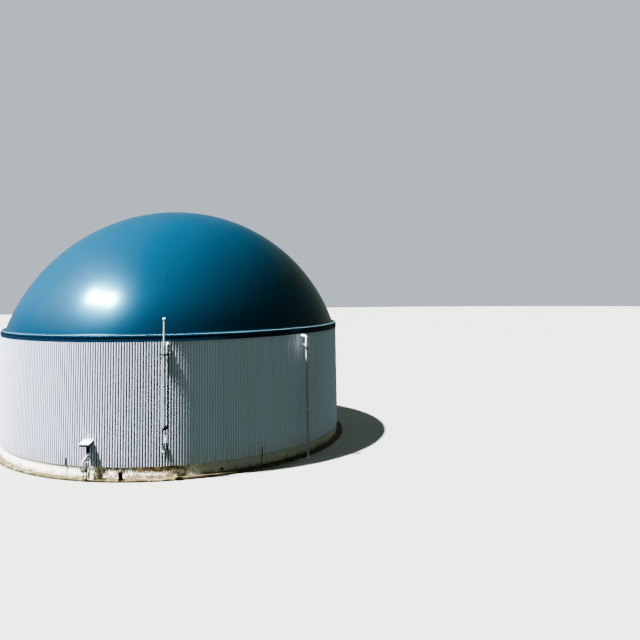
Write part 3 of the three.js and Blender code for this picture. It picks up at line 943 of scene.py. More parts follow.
def hand_over(piece: Piece, finish: Finish, *nodes: str) -> Piece:
    """Dress a finished piece and tie it to the tank.

    Args:
        piece: The piece, its place in its mesh.
        finish: What it is dressed in.
        nodes: The CAD solids that it stands for.

    Returns:
        The same piece.
    """
    take_up(piece)
    bpy.ops.object.shade_smooth_by_angle(angle=math.radians(SMOOTH_UNDER))
    piece.data.name = piece.name
    piece.data.materials.clear()
    piece.data.materials.append(finish.material())
    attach(piece, "root")
    if nodes:
        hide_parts(*nodes)
    LOG.info("%s: %d faces in %s", piece.name, len(piece.data.polygons), finish.name)
    return piece


@dataclass(frozen=True)
class Sun:
    """A distant light at a station and an elevation, and the pieces that it lights alone or leaves out."""

    name: str
    station: float
    elevation: float
    strength: float
    spread: float
    colour: Colour
    pieces: Tuple[str, ...] = ()
    state: str = "INCLUDE"
    shadowless: Tuple[str, ...] = ()
    only_glossy: bool = False

    def shine(self) -> None:
        """Add the light, in the highlights only or in all but them."""
        data = bpy.data.lights.new(self.name, "SUN")
        data.energy = self.strength
        data.angle = math.radians(self.spread)
        data.color = self.colour
        light = bpy.data.objects.new(self.name, data)
        bpy.context.scene.collection.objects.link(light)
        towards = direction(self.station, self.elevation)
        light.rotation_euler = towards.to_track_quat("Z", "Y").to_euler()
        light.location = towards * 60
        if self.only_glossy:
            light.visible_diffuse = False
        else:
            light.visible_glossy = False

    def share(self) -> None:
        """Link the light to its pieces, and keep the shadowless ones from casting a shadow from it."""
        linking = bpy.data.objects[self.name].light_linking
        if self.pieces:
            linking.receiver_collection = self.gather("receivers", self.pieces, self.state)
        if self.shadowless:
            linking.blocker_collection = self.gather("blockers", self.shadowless, "EXCLUDE")

    def gather(self, use: str, names: Sequence[str], state: str) -> bpy.types.Collection:
        """Gather pieces into a collection for the light.

        Args:
            use: What the collection is for.
            names: The pieces' names.
            state: Whether the light has these pieces alone, or all but these.

        Returns:
            The collection.
        """
        group = bpy.data.collections.new(f"{self.name}_{use}")
        for name in names:
            group.objects.link(bpy.data.objects[name])
        for member in group.collection_objects:
            member.light_linking.link_state = state
        return group


def direction(station: float, elevation: float) -> Vector:
    """Direction towards a station at an elevation, both in degrees, one metre long."""
    turn, rise = math.radians(station), math.radians(elevation)
    return Vector((math.sin(turn) * math.cos(rise), -math.cos(turn) * math.cos(rise), math.sin(rise)))


def glare(index: int, station: float, elevation: float) -> Sun:
    """One of the lights that together make the membrane's one highlight."""
    pieces = (*FABRIC, "edge_lip")
    name = f"glare_light_{index}"
    return Sun(name, station, elevation, 46.0, 6.0, (0.22, 0.84, 1.0), pieces, only_glossy=True)


@dataclass
class Studio:
    """Pale floor and backdrop, soft sky, lights, and the photograph's camera.

    The key light leaves out the membrane and the pieces under the sheets' overhang. The haze light and
    the glare lights reach the membrane in its place, and the foot light reaches those pieces.
    """

    floor_reach: float = 250.0
    floor_colour: Colour = (0.24, 0.24, 0.235)
    backdrop_colour: Colour = (0.62, 0.70, 0.80)
    backdrop_height: float = 190.0
    sky: Colour = (0.74, 1.00, 0.80)
    sky_strength: float = 0.22
    sky_lean: float = 0.40
    sky_station: float = -89.0
    sky_elevation: float = 20.0
    ground_share: float = 0.30
    horizon_share: float = 1.6
    zenith_share: float = 0.8
    suns: Tuple[Sun, ...] = (
        Sun("key_light", -89.0, 65.0, 62.0, 1.5, SUNLIGHT, FABRIC + UNDER_SHEETS, "EXCLUDE", BAND_EDGE),
        Sun("foot_light", -72.0, 60.0, 62.0, 1.5, SUNLIGHT, UNDER_SHEETS),
        Sun("haze_light", -104.0, 38.0, 35.0, 36.0, (0.8, 1.0, 1.14), FABRIC),
        glare(1, -80.5, 45.6),
        glare(2, -72.2, 47.0),
        glare(3, -64.0, 48.4),
        Sun("back_light", 140.0, 28.0, 0.8, 1.5, (0.85, 0.95, 1.0)),
    )
    camera_place: Point = (0.0, -42.13, 9.244)
    heading: float = 11.64
    pitch: float = 5.27
    roll: float = -0.87
    lens: float = 34.08
    shift: Tuple[float, float] = (0.0282, -0.1366)

    def build(self) -> None:
        """Set up the camera, the lights, the floor and the backdrop."""
        self.place_camera()
        self.lay_floor()
        self.hang_backdrop()
        self.light_sky()
        for sun in self.suns:
            sun.shine()

    def share_lights(self) -> None:
        """Link each light to its pieces, once they are all there."""
        for sun in self.suns:
            sun.share()

    def place_camera(self) -> None:
        """Stand the camera where the photograph was taken."""
        data = bpy.data.cameras.new("photo_camera")
        data.lens = self.lens
        data.shift_x, data.shift_y = self.shift
        data.clip_end = 1000.0
        camera = bpy.data.objects.new("photo_camera", data)
        bpy.context.scene.collection.objects.link(camera)
        matrix = Matrix.Translation(self.camera_place)
        for degrees, axis in ((-self.heading, "Z"), (90.0 + self.pitch, "X"), (self.roll, "Z")):
            matrix = matrix @ Matrix.Rotation(math.radians(degrees), 4, axis)
        camera.matrix_world = matrix
        bpy.context.scene.camera = camera

    def lay_floor(self) -> None:
        """Lay a plain pale floor a hair below the slab."""
        floor = lathe("studio_floor", [(0, -0.003), (self.floor_reach, -0.003)], 96)
        w = Wiring("floor_paint", Metallic=0.0, Specular_IOR_Level=0.1, Roughness=0.9)
        shade = [value * 0.96 for value in self.floor_colour]
        w.close(w.mix(w.noise((0.05, 0.05, 0.05)), self.floor_colour, shade))
        self.stage(floor, w)

    def hang_backdrop(self) -> None:
        """Hang a plain pale backdrop round the floor's edge."""
        radius = self.floor_reach - 1.0
        backdrop = draw_line("studio_backdrop", [(0, -radius, -2.0), (0, -radius, self.backdrop_height)])
        with Edit(backdrop) as edit:
            edit.spin(FULL_TURN, 96)
            edit.merge()
        w = Wiring(
            "backdrop_paint", Roughness=1.0, Emission_Strength=1.0, Base_Color=(0, 0, 0, 1),
            Specular_IOR_Level=0.0, Emission_Color=(*self.backdrop_colour, 1.0),
        )
        backdrop.visible_shadow = False
        self.stage(backdrop, w)

    @staticmethod
    def stage(piece: Piece, paint: Wiring) -> None:
        """Paint a stage piece, and keep its own light off the tank."""
        piece.data.materials.append(paint.material)
        piece.visible_diffuse = False
        piece.visible_glossy = False

    def light_sky(self) -> None:
        """Light the tank with a soft sky, brighter on the key light's side and dim below."""
        world = bpy.data.worlds.new("soft_sky")
        world.use_nodes = True
        sky = Nodes(world.node_tree)
        place = sky.put("TexCoord", {}).outputs["Generated"]
        towards = direction(self.sky_station, self.sky_elevation)
        lean = sky.put("VectorMath", {0: place, 1: towards}, operation="DOT_PRODUCT").outputs["Value"]
        side = sky.put("Math", {0: lean, 1: self.sky_lean, 2: 1.0}, operation="MULTIPLY_ADD").outputs[0]
        height = sky.put("SeparateXYZ", {0: place}).outputs["Z"]
        below = sky.span(height, -0.25, 0.05, self.ground_share, 1.0, "LINEAR")
        above = sky.span(height, 0.02, 0.50, self.horizon_share, self.zenith_share, "LINEAR")
        background = sky.tree.nodes["Background"]
        background.inputs["Color"].default_value = (*self.sky, 1.0)
        strength = sky.times(side, below, above, self.sky_strength)
        sky.tree.links.new(strength, background.inputs["Strength"])
        bpy.context.scene.world = world


@dataclass
class Assembly:
    """Pieces that are drawn in one station's local frame and carried round to it."""

    station: float = 0.0

    def here(self, piece: Piece, finish: Finish, *nodes: str) -> Piece:
        """Carry a finished piece to the station and hand it over."""
        return hand_over(carry_to_station(piece, self.station), finish, *nodes)

    def here_joined(self, name: str, pieces: Sequence[Piece], finish: Finish, *nodes: str) -> Piece:
        """Join pieces under a name, carry them to the station and hand them over."""
        return self.here(joined(name, pieces), finish, *nodes)


@dataclass
class Foundation:
    """The floor slab's ledge and the concrete wall, of which the plinth shows."""

    slab_radius: float = 10.955
    ledge_inner: float = 10.40
    wall_inner: float = 10.37
    wall_top: float = 6.90
    lift_joint: float = 0.36
    panels: int = 28
    walls: int = 8

    def build(self) -> None:
        """Build the slab, the wall and the marks of its formwork."""
        self.build_slab()
        self.build_wall()
        self.build_formwork_marks()

    def build_slab(self) -> None:
        """Cast the slab with a worn, slightly crumbled ledge."""
        top, radius = SLAB_TOP, self.slab_radius
        outline = [(0, top)] + [(self.ledge_inner + 0.09 * step, top) for step in range(6)]
        outline += [(radius - 0.02, top), (radius - 0.004, top - 0.012), (radius, top - 0.03)]
        outline += [(radius, 0.03), (radius - 0.003, 0.0), (0, 0)]
        slab = lathe("floor_slab_cast", outline, 540)
        ledge = slab.vertex_groups.new(name="ledge")
        worn = [v.index for v in slab.data.vertices if v.co.z > 0.02 and v.co.xy.length > WALL_FACE + 0.02]
        ledge.add(worn, 1.0, "REPLACE")
        clouds = bpy.data.textures.new("crumble", "CLOUDS")
        clouds.noise_scale = 0.22
        clouds.noise_depth = 4
        add_modifier(
            slab, "DISPLACE", texture=clouds, strength=0.016, mid_level=0.62, vertex_group="ledge",
            texture_coords="LOCAL",
        )
        hand_over(slab, FINISHES.slab, "floor_slab")

    def build_wall(self) -> None:
        """Cast the round wall with a struck line where its first lift ends."""
        face, joint = WALL_FACE, self.lift_joint
        outline = [
            (self.wall_inner, SLAB_TOP), (face, SLAB_TOP), (face, joint - 0.006),
            (face - 0.005, joint), (face, joint + 0.006), (face, PLINTH_TOP), (face, self.wall_top),
            (self.wall_inner, self.wall_top), (self.wall_inner, SLAB_TOP),
        ]
        nodes = [f"tank_wall_{number + 1}" for number in range(self.walls)]
        hand_over(lathe("concrete_wall", outline, 360), FINISHES.plinth, *nodes)

    def build_formwork_marks(self) -> None:
        """Add the fins that the formwork's joints left, and the plugs of its tie holes."""
        low, high = (-0.004, -WALL_FACE - 0.0025, SLAB_TOP), (0.004, -WALL_FACE + 0.004, 0.66)
        fin = block("formwork_marks", low, high)
        outline = [(0, 0.004), (0.016, 0.004), (0.020, 0.0025), (0.024, 0), (0, -0.004)]
        plug = turned("tie_plug", outline, 12, (0.42, -WALL_FACE + 0.0095, 0.24), OUT)
        copies_along(plug, [(-0.84, 0, 0), (0, 0, 0.28), (-0.84, 0, 0.28)])
        marks = copies_round(joined("formwork_marks", [fin, plug]), self.panels, FULL_TURN / self.panels)
        hand_over(marks, FINISHES.plinth)


@dataclass
class RibbedCladding:
    """Upright trapezoidal sheets on their closure strip, with laps and screws."""

    bottom: float = PLINTH_TOP
    top: float = 6.70
    ribs: int = 488
    bays: int = 4
    ribs_per_sheet: int = 8
    depth: float = 0.035
    crest: float = 0.058
    flank: float = 0.017
    fold: float = 0.0025
    sheet: float = 0.0010
    girts: Tuple[float, ...] = (0.76, 2.22, 3.68, 5.14, 6.60)

    def rib_outline(self) -> List[Tuple[float, float]]:
        """Outline of one rib from valley middle to valley middle.

        Returns:
            Pairs of offset along the wall and height above the valley, with each fold softened.
        """
        pitch = FULL_TURN * CLADDING_FACE / self.ribs
        half, foot = self.crest / 2, self.crest / 2 + self.flank
        length = math.hypot(self.flank, self.depth)
        run, rise = self.flank / length * self.fold, self.depth / length * self.fold
        left = [
            (-pitch / 2, 0), (-foot - self.fold, 0), (-foot + run, rise),
            (-half - run, self.depth - rise), (-half + self.fold, self.depth),
        ]
        return left + [(-offset, height) for offset, height in reversed(left)]

    def ribbon(self, name: str, outline: Outline, middle: float, low: float) -> Piece:
        """Upright ribbon of sheet up to the sheets' top, still without thickness.

        Args:
            name: The new piece's name.
            outline: Pairs of offset along the wall and height above the valley.
            middle: The rib's own angle, in radians.
            low: Height of its lower end.

        Returns:
            The ribbon.
        """
        points = []
        for offset, height in outline:
            angle = middle + offset / CLADDING_FACE
            radius = CLADDING_FACE - self.depth + height
            points.append((radius * math.sin(angle), -radius * math.cos(angle), low))
        ribbon = draw_line(name, points)
        with Edit(ribbon) as edit:
            edit.extrude((0, 0, self.top - low))
        return ribbon

    def build(self) -> None:
        """Build the sheets, their laps, the screws and the closure strip."""
        self.build_sheets()
        self.build_laps()
        self.build_screws()
        self.build_closures()

    def build_sheets(self) -> None:
        """Roll the ribbed sheets of each bay from one rib."""
        ribs = self.ribs // self.bays
        step = FULL_TURN / self.ribs
        for bay in range(self.bays):
            first = step * (bay * ribs + 0.5)
            sheets = self.ribbon(f"ribbed_sheets_{bay + 1}", self.rib_outline(), first, self.bottom)
            copies_round(sheets, ribs, step)
            with Edit(sheets) as edit:
                edit.merge(2e-4)
                edit.face_out()
            thicken(sheets, self.sheet)
            hand_over(sheets, FINISHES.sheet, f"cladding_bay_{bay + 1}")

    def build_laps(self) -> None:
        """Lay each sheet's edge rib over its neighbour's."""
        proud = self.sheet + 0.0004
        outline = [(offset, height + proud) for offset, height in self.rib_outline()[2:]]
        outline[-1] = (self.crest / 2 + self.flank + 0.012, proud)
        lap = self.ribbon("sheet_laps", outline, FULL_TURN / self.ribs / 2, self.bottom - 0.002)
        laps = round(self.ribs / self.ribs_per_sheet)
        copies_round(lap, laps, FULL_TURN / laps)
        with Edit(lap) as edit:
            edit.face_out()
        thicken(turn_out(lap), self.sheet)
        hand_over(lap, FINISHES.sheet)

    def build_screws(self) -> None:
        """Set a washered screw in every second valley at each girt."""
        valley = -(CLADDING_FACE - self.depth + 0.0002)
        screw = hexagon_bolt("cladding_screws", (0, valley, self.girts[0]), OUT, 0.014, 8)
        copies_along(screw, [(0, 0, z - self.girts[0]) for z in self.girts[1:]])
        count = self.ribs // 2
        hand_over(copies_round(screw, count, FULL_TURN / count), FINISHES.bolt)

    def build_closures(self) -> None:
        """Close the foot of the sheets with an angle on the wall, set back in their shadow and painted
        near-black as painted shade of that gap.
        """
        back, front = WALL_FACE + SEAT_GAP, CLADDING_FACE - self.depth - 0.002
        angle = [
            (back, 0.004), (front, 0.004), (front, 0.034), (front - 0.002, 0.034), (front - 0.002, 0.007),
            (back + 0.002, 0.007), (back + 0.002, 0.060), (back, 0.060), (back, 0.004),
        ]
        outline = [(radius, self.bottom + height) for radius, height in angle]
        hand_over(lathe("foot_closure", outline, 240), FINISHES.closure)


@dataclass
class EdgeBand:
    """The membrane's clamped edge: a flap over the wall's top, a bolted rail and a sloping lip."""

    outer: float = 10.69
    bottom: float = 6.70
    top: float = 6.98
    shoulder: Tuple[float, float] = (10.66, 7.03)
    lip_end: Tuple[float, float] = (10.43, 7.09)
    rail_low: float = 6.81
    rail_high: float = 6.87
    rail_depth: float = 0.008
    rails: int = 66
    bolts_per_rail: int = 5
    arcs: int = 4

    def build(self) -> None:
        """Build the flap, the lip, and the rail with its bolts."""
        self.build_flap()
        self.build_lip()
        self.build_rail()

    def build_flap(self) -> None:
        """Fold the flap over the wall's top, drawn in where the rail clamps it."""
        back, outer, low, top = WALL_FACE + 0.002, self.outer, self.bottom, self.top
        outline = [
            (back, low + 0.01), (outer - 0.014, low + 0.002), (outer - 0.004, low + 0.005),
            (outer, low + 0.014), (outer - 0.002, low + 0.026), (outer - 0.006, low + 0.034),
            (outer - 0.004, self.rail_low - 0.01), (outer - 0.009, self.rail_low),
            (outer - 0.009, self.rail_high),
            (outer - 0.003, self.rail_high + 0.012), (outer, top - 0.02), (outer - 0.006, top + 0.012),
            self.shoulder, (self.shoulder[0] - 0.05, self.shoulder[1] - 0.004), (back, top - 0.04),
            (back, low + 0.01),
        ]
        nodes = [f"edge_band_{number + 1}" for number in range(self.arcs)]
        hand_over(lathe("membrane_edge_flap", outline, 360), FINISHES.flap, *nodes)

    def build_lip(self) -> None:
        """Lay the hem of the lip, painted pale as a painted sky reflection, and the membrane's skirt that
        closes up to the dome.
        """
        (radius, z), (end_radius, end_z) = self.shoulder, self.lip_end
        hem = [
            (radius + 0.002, z - 0.006), (radius + 0.006, z - 0.001), (radius + 0.003, z + 0.008),
            (radius - 0.02, z + 0.013), (radius - 0.06, z + 0.014), (radius - 0.06, z - 0.006),
            (radius + 0.002, z - 0.006),
        ]
        hand_over(lathe("edge_lip", hem, 360), FINISHES.lip)
        skirt = [
            (radius - 0.035, z + 0.006), (radius - 0.030, z + 0.020), (radius - 0.050, z + 0.034),
            (radius - 0.12, z + 0.044), (end_radius + 0.02, end_z - 0.004), (end_radius - 0.015, end_z),
            (end_radius - 0.02, end_z - 0.03), (radius - 0.08, z - 0.004), (radius - 0.035, z + 0.006),
        ]
        hand_over(lathe("membrane_skirt", skirt, 360), FINISHES.seam)

    def build_rail(self) -> None:
        """Bolt the clamping rail round the flap in short lengths."""
        step = FULL_TURN / self.rails
        gap = 0.014 / self.outer
        inner = self.outer - 0.009
        outline = hoop(inner, inner + self.rail_depth, self.rail_low, self.rail_high)
        rail = round_edges(lathe("clamping_rail", outline, 6, step - gap), 0.0015, 1)
        hand_over(copies_round(rail, self.rails, step), FINISHES.rail)
        bolt_step = (step - gap) / self.bolts_per_rail
        middle = (self.rail_low + self.rail_high) / 2
        bolt = hexagon_bolt("rail_bolts", (0, -(inner + self.rail_depth), middle), OUT, 0.022, 8)
        with Edit(bolt) as edit:
            edit.spin(bolt_step / 2, 1, copies=True)
            bpy.ops.mesh.select_all(action="INVERT")
            edit.delete(Kind.VERTEX)
        copies_round(bolt, self.bolts_per_rail, bolt_step)
        hand_over(copies_round(bolt, self.rails, step), FINISHES.rail)


@dataclass
class Dome:
    """The air-held membrane: one smooth cap with welded gore seams and a crown patch."""

    radius: float = 11.036
    centre_z: float = 3.46
    foot_z: float = 7.02
    fabric: float = 0.004
    segments: int = 216
    rings: int = 150
    gores: int = 28
    seam_width: float = 0.045
    seam_steps: int = 44
    crown_radius: float = 0.62
    cut_side: float = 27.3

    def cap(self, name: str, radius: float, foot_z: float, segments: int, rings: int) -> Piece:
        """Cut a cap from a ball about the dome's centre.

        Args:
            name: The new piece's name.
            radius: The ball's radius.
            foot_z: Height where the cap ends.
            segments: Steps round the ball.
            rings: Steps from pole to pole.

        Returns:
            The cap as an open skin that faces out.
        """
        clear_selection()
        bpy.ops.mesh.primitive_uv_sphere_add(
            segments=segments, ring_count=rings, radius=radius, location=(0, 0, self.centre_z)
        )
        cap = settle(bpy.context.object)
        cap.name = name
        with Edit(cap):
            bpy.ops.mesh.bisect(plane_co=(0, 0, foot_z), plane_no=UP, clear_inner=True)
        return cap

    def build(self) -> None:
        """Build the membrane with its seams."""
        skin = self.cap("membrane_dome", self.radius, self.foot_z, self.segments, self.rings)
        thicken(skin, self.fabric)
        hand_over(skin, FINISHES.dome, "dome_membrane")
        seams = self.build_seams()

    def build_seams(self) -> Piece:
        """Weld a strip over each seam between gores, and a patch on the crown.

        Returns:
            The strips and the patch as one piece.
        """
        proud = self.radius + 0.0016
        start = math.asin(self.crown_radius * 0.9 / self.radius)
        end = math.acos((self.foot_z + 0.05 - self.centre_z) / self.radius)
        points = []
        for index in range(self.seam_steps + 1):
            angle = start + (end - start) * index / self.seam_steps
            height = self.centre_z + proud * math.cos(angle)
            points.append((-self.seam_width / 2, -proud * math.sin(angle), height))
        strip = draw_line("dome_seams", points)
        with Edit(strip) as edit:
            edit.extrude((self.seam_width, 0, 0))
            edit.face_out()
        copies_round(thicken(strip, 0.0015), self.gores, FULL_TURN / self.gores)
        patch_foot = self.centre_z + math.sqrt(proud**2 - self.crown_radius**2)
        patch = thicken(self.cap("crown_patch", proud + 0.0012, patch_foot, 72, 720), 0.002)
        return hand_over(joined("dome_seams", [strip, patch]), FINISHES.seam)


@dataclass
class ReliefLine(Assembly):
    """Vent mast, gas inlet pipe, header and water-seal pot, on one flat of the cladding."""

    station: float = -2.5
    mast_x: float = -0.17
    mast_out: float = 0.25
    mast_radius: float = 0.043
    mast_top: float = 7.76
    mast_foot: float = 2.545
    mast_sockets: Tuple[float, ...] = (4.52, 7.05)
    inlet_x: float = -0.01
    inlet_out: float = 0.16
    inlet_radius: float = 0.042
    inlet_top: float = 6.60
    inlet_foot: float = 2.605
    inlet_sockets: Tuple[float, ...] = (2.64, 4.56)
    sleeve_foot: float = 6.14
    header_left: float = -0.225
    header_right: float = 0.050
    header_mast_z: float = 2.444
    header_inlet_z: float = 2.504
    header_radius: float = 0.050
    riser_top: float = 2.395
    riser_x: float = -0.075
    riser_out: float = 0.23
    riser_radius: float = 0.034
    nut_z: float = 2.230
    pot_radius: float = 0.150
    cone_top: float = 1.86
    cone_bottom: float = 1.505
    pot_bottom: float = 1.30
    bracket_z: float = 6.075

    def build(self) -> None:
        """Build the whole line from the vent cap down to the pot."""
        self.build_mast()
        self.build_inlet()
        self.build_bracket()
        self.build_header()
        self.build_riser()
        self.build_pot()

    def build_mast(self) -> None:
        """Stand the vent mast with its sockets and its rain cap."""
        x, y = self.mast_x, out_from_cladding(self.mast_out)
        r, foot, top = self.mast_radius, self.mast_foot, self.mast_top
        outline = [(0, foot), (r + 0.006, foot), (r + 0.006, foot + 0.015), (r, foot + 0.023)]
        for socket in self.mast_sockets:
            outline += raised(r, socket, socket + 0.09, 0.007, 0.004)
        outline += [(r, top - 0.004), (r - 0.004, top), (0, top)]
        self.here(turned("vent_mast_tube", outline, 40, (x, y, 0)), FINISHES.mast, "vent_mast")
        cap = [
            (0, 0), (0.036, 0), (0.036, 0.012), (0.050, 0.018), (0.066, 0.030), (0.074, 0.048),
            (0.076, 0.066),
            (0.074, 0.084), (0.066, 0.104), (0.050, 0.122), (0.028, 0.133), (0, 0.136),
        ]
        self.here(turned("vent_rain_cap", cap, 40, (x, y, top)), FINISHES.white, "vent_cap")

    def build_inlet(self) -> None:
        """Run the gas inlet pipe up the wall and into it under the band."""
        x, y = self.inlet_x, out_from_cladding(self.inlet_out)
        r, top, foot = self.inlet_radius, self.inlet_top, self.sleeve_foot
        corners = [(x, y, foot), (x, y, top), (x, out_from_cladding(-0.015), top)]
        sleeve = bent_pipe("relief_inlet_elbow", corners, r + 0.006, 0.08)
        edge = closed([(r, -0.016), (r + 0.010, -0.016), (r + 0.012, -0.010), (r + 0.012, 0.010), (r, 0.014)])
        lip = turned("sleeve_lip", edge, 32, (x, y, foot))
        self.here_joined("relief_inlet_elbow", [sleeve, lip], FINISHES.white)
        parts = [turned("relief_inlet_line", disc(r, self.inlet_foot, foot + 0.01), 32, (x, y, 0))]
        socket = closed(raised(r - 0.004, 0, 0.065, 0.011, 0.003))
        parts += [turned("socket", socket, 32, (x, y, z)) for z in self.inlet_sockets]
        flange = [(0, 0), *rim(0.080, 0, 0.012), (0.052, 0.012), (0.046, 0.024), (0, 0.024)]
        parts.append(turned("inlet_wall_flange", flange, 32, (x, out_from_cladding(0.0003), top), OUT))
        self.here_joined("relief_inlet_line", parts, FINISHES.inlet, "relief_inlet_pipe")
        face = (x, out_from_cladding(0.0125), top)
        self.here(bolt_circle("inlet_flange_bolts", face, OUT, 0.064, 6, 0.018), FINISHES.bolt)

    def build_bracket(self) -> None:
        """Hold both pipes near the top with a channel, stand-offs and clamps."""
        z, half = self.bracket_z, 0.032
        low, high = (-0.42, out_from_cladding(0.040), z - half), (0.16, out_from_cladding(SEAT_GAP), z + half)
        channel = block("upper_bracket", low, high)
        with Edit(channel) as edit:
            edit.pick_facing(OUT)
            edit.inset(0.006)
            edit.extrude((0, 0.030, 0))
        parts, bolts = [round_edges(channel, 0.002)], []
        pipes = (
            (self.mast_x, self.mast_out, self.mast_radius), (self.inlet_x, self.inlet_out, self.inlet_radius),
        )
        for x, out, radius in pipes:
            parts += self.clamp_pipe(x, out, radius)
            sides = [(x + side * (radius + 0.024), out_from_cladding(out) - 0.008, z) for side in (-1, 1)]
            bolts += bolts_at("clamp_bolt", sides, OUT, 0.016)
        places = [(x, out_from_cladding(0.0105), z) for x in (-0.385, -0.29, 0.08, 0.13)]
        bolts += bolts_at("channel_bolt", places, OUT, 0.018)
        self.here_joined("upper_bracket", parts, FINISHES.weathered, "upper_pipe_bracket")
        self.here_joined("upper_bracket_bolts", bolts, FINISHES.bolt)

    def clamp_pipe(self, x: float, out: float, radius: float) -> List[Piece]:
        """Clamp one pipe to the channel.

        Args:
            x: The pipe's place along the wall.
            out: How far its middle stands off the cladding.
            radius: Its outer radius.

        Returns:
            The clamp's ring, its lugs and its stand-off.
        """
        y, z = out_from_cladding(out), self.bracket_z
        ring = turned("pipe_clamp", hoop(radius + 0.0003, radius + 0.012, -0.030, 0.030), 32, (x, y, z))
        wide = radius + 0.036
        lug = block("lug", (x - wide, y - 0.008, z - 0.028), (x + wide, y + 0.008, z + 0.028))
        with Edit(lug) as edit:
            for cut in (x - radius - 0.002, x + radius + 0.002):
                edit.all()
                bpy.ops.mesh.bisect(plane_co=(cut, 0, 0), plane_no=(1, 0, 0))
            edit.pick(Kind.FACE, lambda middle, normal: abs(middle.x - x) < radius)
            edit.delete()
            edit.close_ends()
            edit.face_out()
        reach = out - 0.03 - radius
        arm = turned("stand_off", disc(0.016, 0, reach), 16, (x, out_from_cladding(0.030), z), OUT)
        return [ring, lug, arm]

    def header_point(self, x: float) -> Vector:
        """Point of the header's centre line, which slopes from the mast's foot back and up to the inlet's."""
        share = (x - self.mast_x) / (self.inlet_x - self.mast_x)
        out = self.mast_out + share * (self.inlet_out - self.mast_out)
        z = self.header_mast_z + share * (self.header_inlet_z - self.header_mast_z)
        return Vector((x, out_from_cladding(out), z))

    def build_header(self) -> None:
        """Join both pipes in a dark welded header that slopes back and up to the inlet's foot."""
        r = self.header_radius
        start = self.header_point(self.header_left + 0.02)
        end = self.header_point(self.header_right - 0.02)
        half = [
            (0, -0.024), (r * 0.55, -0.019), (r * 0.86, -0.009), (r, 0.004), (r, 0.030), (r + 0.004, 0.034),
            (r + 0.004, 0.040), (r, 0.044),
        ]
        outline = mirrored(half, (end - start).length)
        parts = [turned("relief_header_tube", outline, 36, tuple(start), end - start)]
        mast, inlet, riser = self.mast_radius + 0.010, self.inlet_radius + 0.010, self.riser_radius + 0.012
        parts += [
            self.stub(self.mast_x, self.mast_out, mast, self.header_mast_z, self.mast_foot + 0.012),
            self.stub(self.inlet_x, self.inlet_out, inlet, self.header_inlet_z, self.inlet_foot + 0.012),
            self.stub(self.riser_x, self.riser_out, riser, self.riser_top, self.header_point(self.riser_x).z),
        ]
        self.here_joined("relief_header_tube", parts, FINISHES.dark, "relief_header")

    @staticmethod
    def stub(x: float, out: float, radius: float, low: float, high: float) -> Piece:
        """Short upright socket on the header, chamfered at its top."""
        tall = high - low
        outline = [
            (0, 0), (radius, 0), (radius, tall * 0.5), (radius, tall - 0.004), (radius - 0.004, tall),
            (0, tall),
        ]
        return turned("stub", outline, 32, (x, out_from_cladding(out), low))

    def build_riser(self) -> None:
        """Drop the white riser with its union nut from the header to the pot."""
        x, y, r = self.riser_x, out_from_cladding(self.riser_out), self.riser_radius
        foot, top = self.cone_top - 0.005, self.riser_top
        outline = [
            (0, foot), (r + 0.016, foot), (r + 0.018, foot + 0.006), (r + 0.018, foot + 0.120),
            (r, foot + 0.130),
            *raised(r, 2.150, 2.178, 0.010, 0.006),
            (r, 2.300), (r + 0.014, 2.306), (r + 0.014, 2.345), (r, 2.350), (r, top), (0, top),
        ]
        tube = turned("relief_riser_tube", outline, 36, (x, y, 0))
        clear_selection()
        bpy.ops.mesh.primitive_cylinder_add(vertices=8, radius=0.054, depth=0.12, location=(x, y, self.nut_z))
        nut = settle(bpy.context.object)
        with Edit(nut) as edit:
            edit.pick(Kind.FACE, lambda middle, normal: abs(normal.z) > SQUARE_ON)
            edit.inset(0.008, 0.004)
        round_edges(nut, 0.003)
        self.here_joined("relief_riser_tube", [tube, nut], FINISHES.white, "relief_riser")

    def build_pot(self) -> None:
        """Hang the water-seal pot with its cone and its sight tube on the wall bracket."""
        x, y, r = self.riser_x, out_from_cladding(self.riser_out), self.pot_radius
        top, low, base = self.cone_top, self.cone_bottom, self.pot_bottom
        cone = [
            (0, top), (0.046, top), (0.052, top - 0.004), (0.052, top - 0.016), (0.058, top - 0.030),
            (0.150, low + 0.034), (0.160, low + 0.028), (0.165, low + 0.022), (0.165, low + 0.002),
            (0, low + 0.002),
        ]
        self.here(turned("pot_cone", cone, 48, (x, y, 0)), FINISHES.dark, "relief_pot_cone")
        self.build_sight_tube(x + 0.020, y - 0.125)
        pot = [
            (0, low), (r + 0.012, low), (r + 0.014, low - 0.003), (r + 0.014, low - 0.016),
            (r + 0.012, low - 0.019),
            (r, low - 0.022), (r, base + 0.066), (r * 0.97, base + 0.046), (r * 0.86, base + 0.026),
            (r * 0.66, base + 0.010), (r * 0.42, base + 0.002), (0.030, base), (0.030, base - 0.030),
            (0, base - 0.030),
        ]
        self.here(turned("water_seal_pot", pot, 48, (x, y, 0)), FINISHES.pot, "relief_pot")
        bolts = bolt_circle("pot_flange_bolts", (x, y, low + 0.0235), UP, r + 0.001, 10, 0.016)
        self.here(bolts, FINISHES.bolt)
        middle = (base + 0.06 + low) / 2
        back, front = out_from_cladding(SEAT_GAP), out_from_cladding(0.0125)
        near, far = (x - 0.13, front, middle - 0.11), (x + 0.13, back, middle + 0.11)
        parts = [block("pot_bracket", near, far, 0.003)]
        reach = y + r * 0.96
        for arm_x in (x - 0.042, x + 0.042):
            near, far = (arm_x - 0.006, reach, middle - 0.035), (arm_x + 0.006, front, middle + 0.035)
            parts.append(block("arm", near, far, 0.002))
        parts.append(turned("strap", hoop(r + 0.001, r + 0.006, -0.02, 0.02), 48, (x, y, middle)))
        self.here_joined("pot_bracket", parts, FINISHES.galvanised, "relief_pot_bracket")
        corners = [(x + dx, front, middle + dz) for dx in (-0.10, 0.10) for dz in (-0.08, 0.08)]
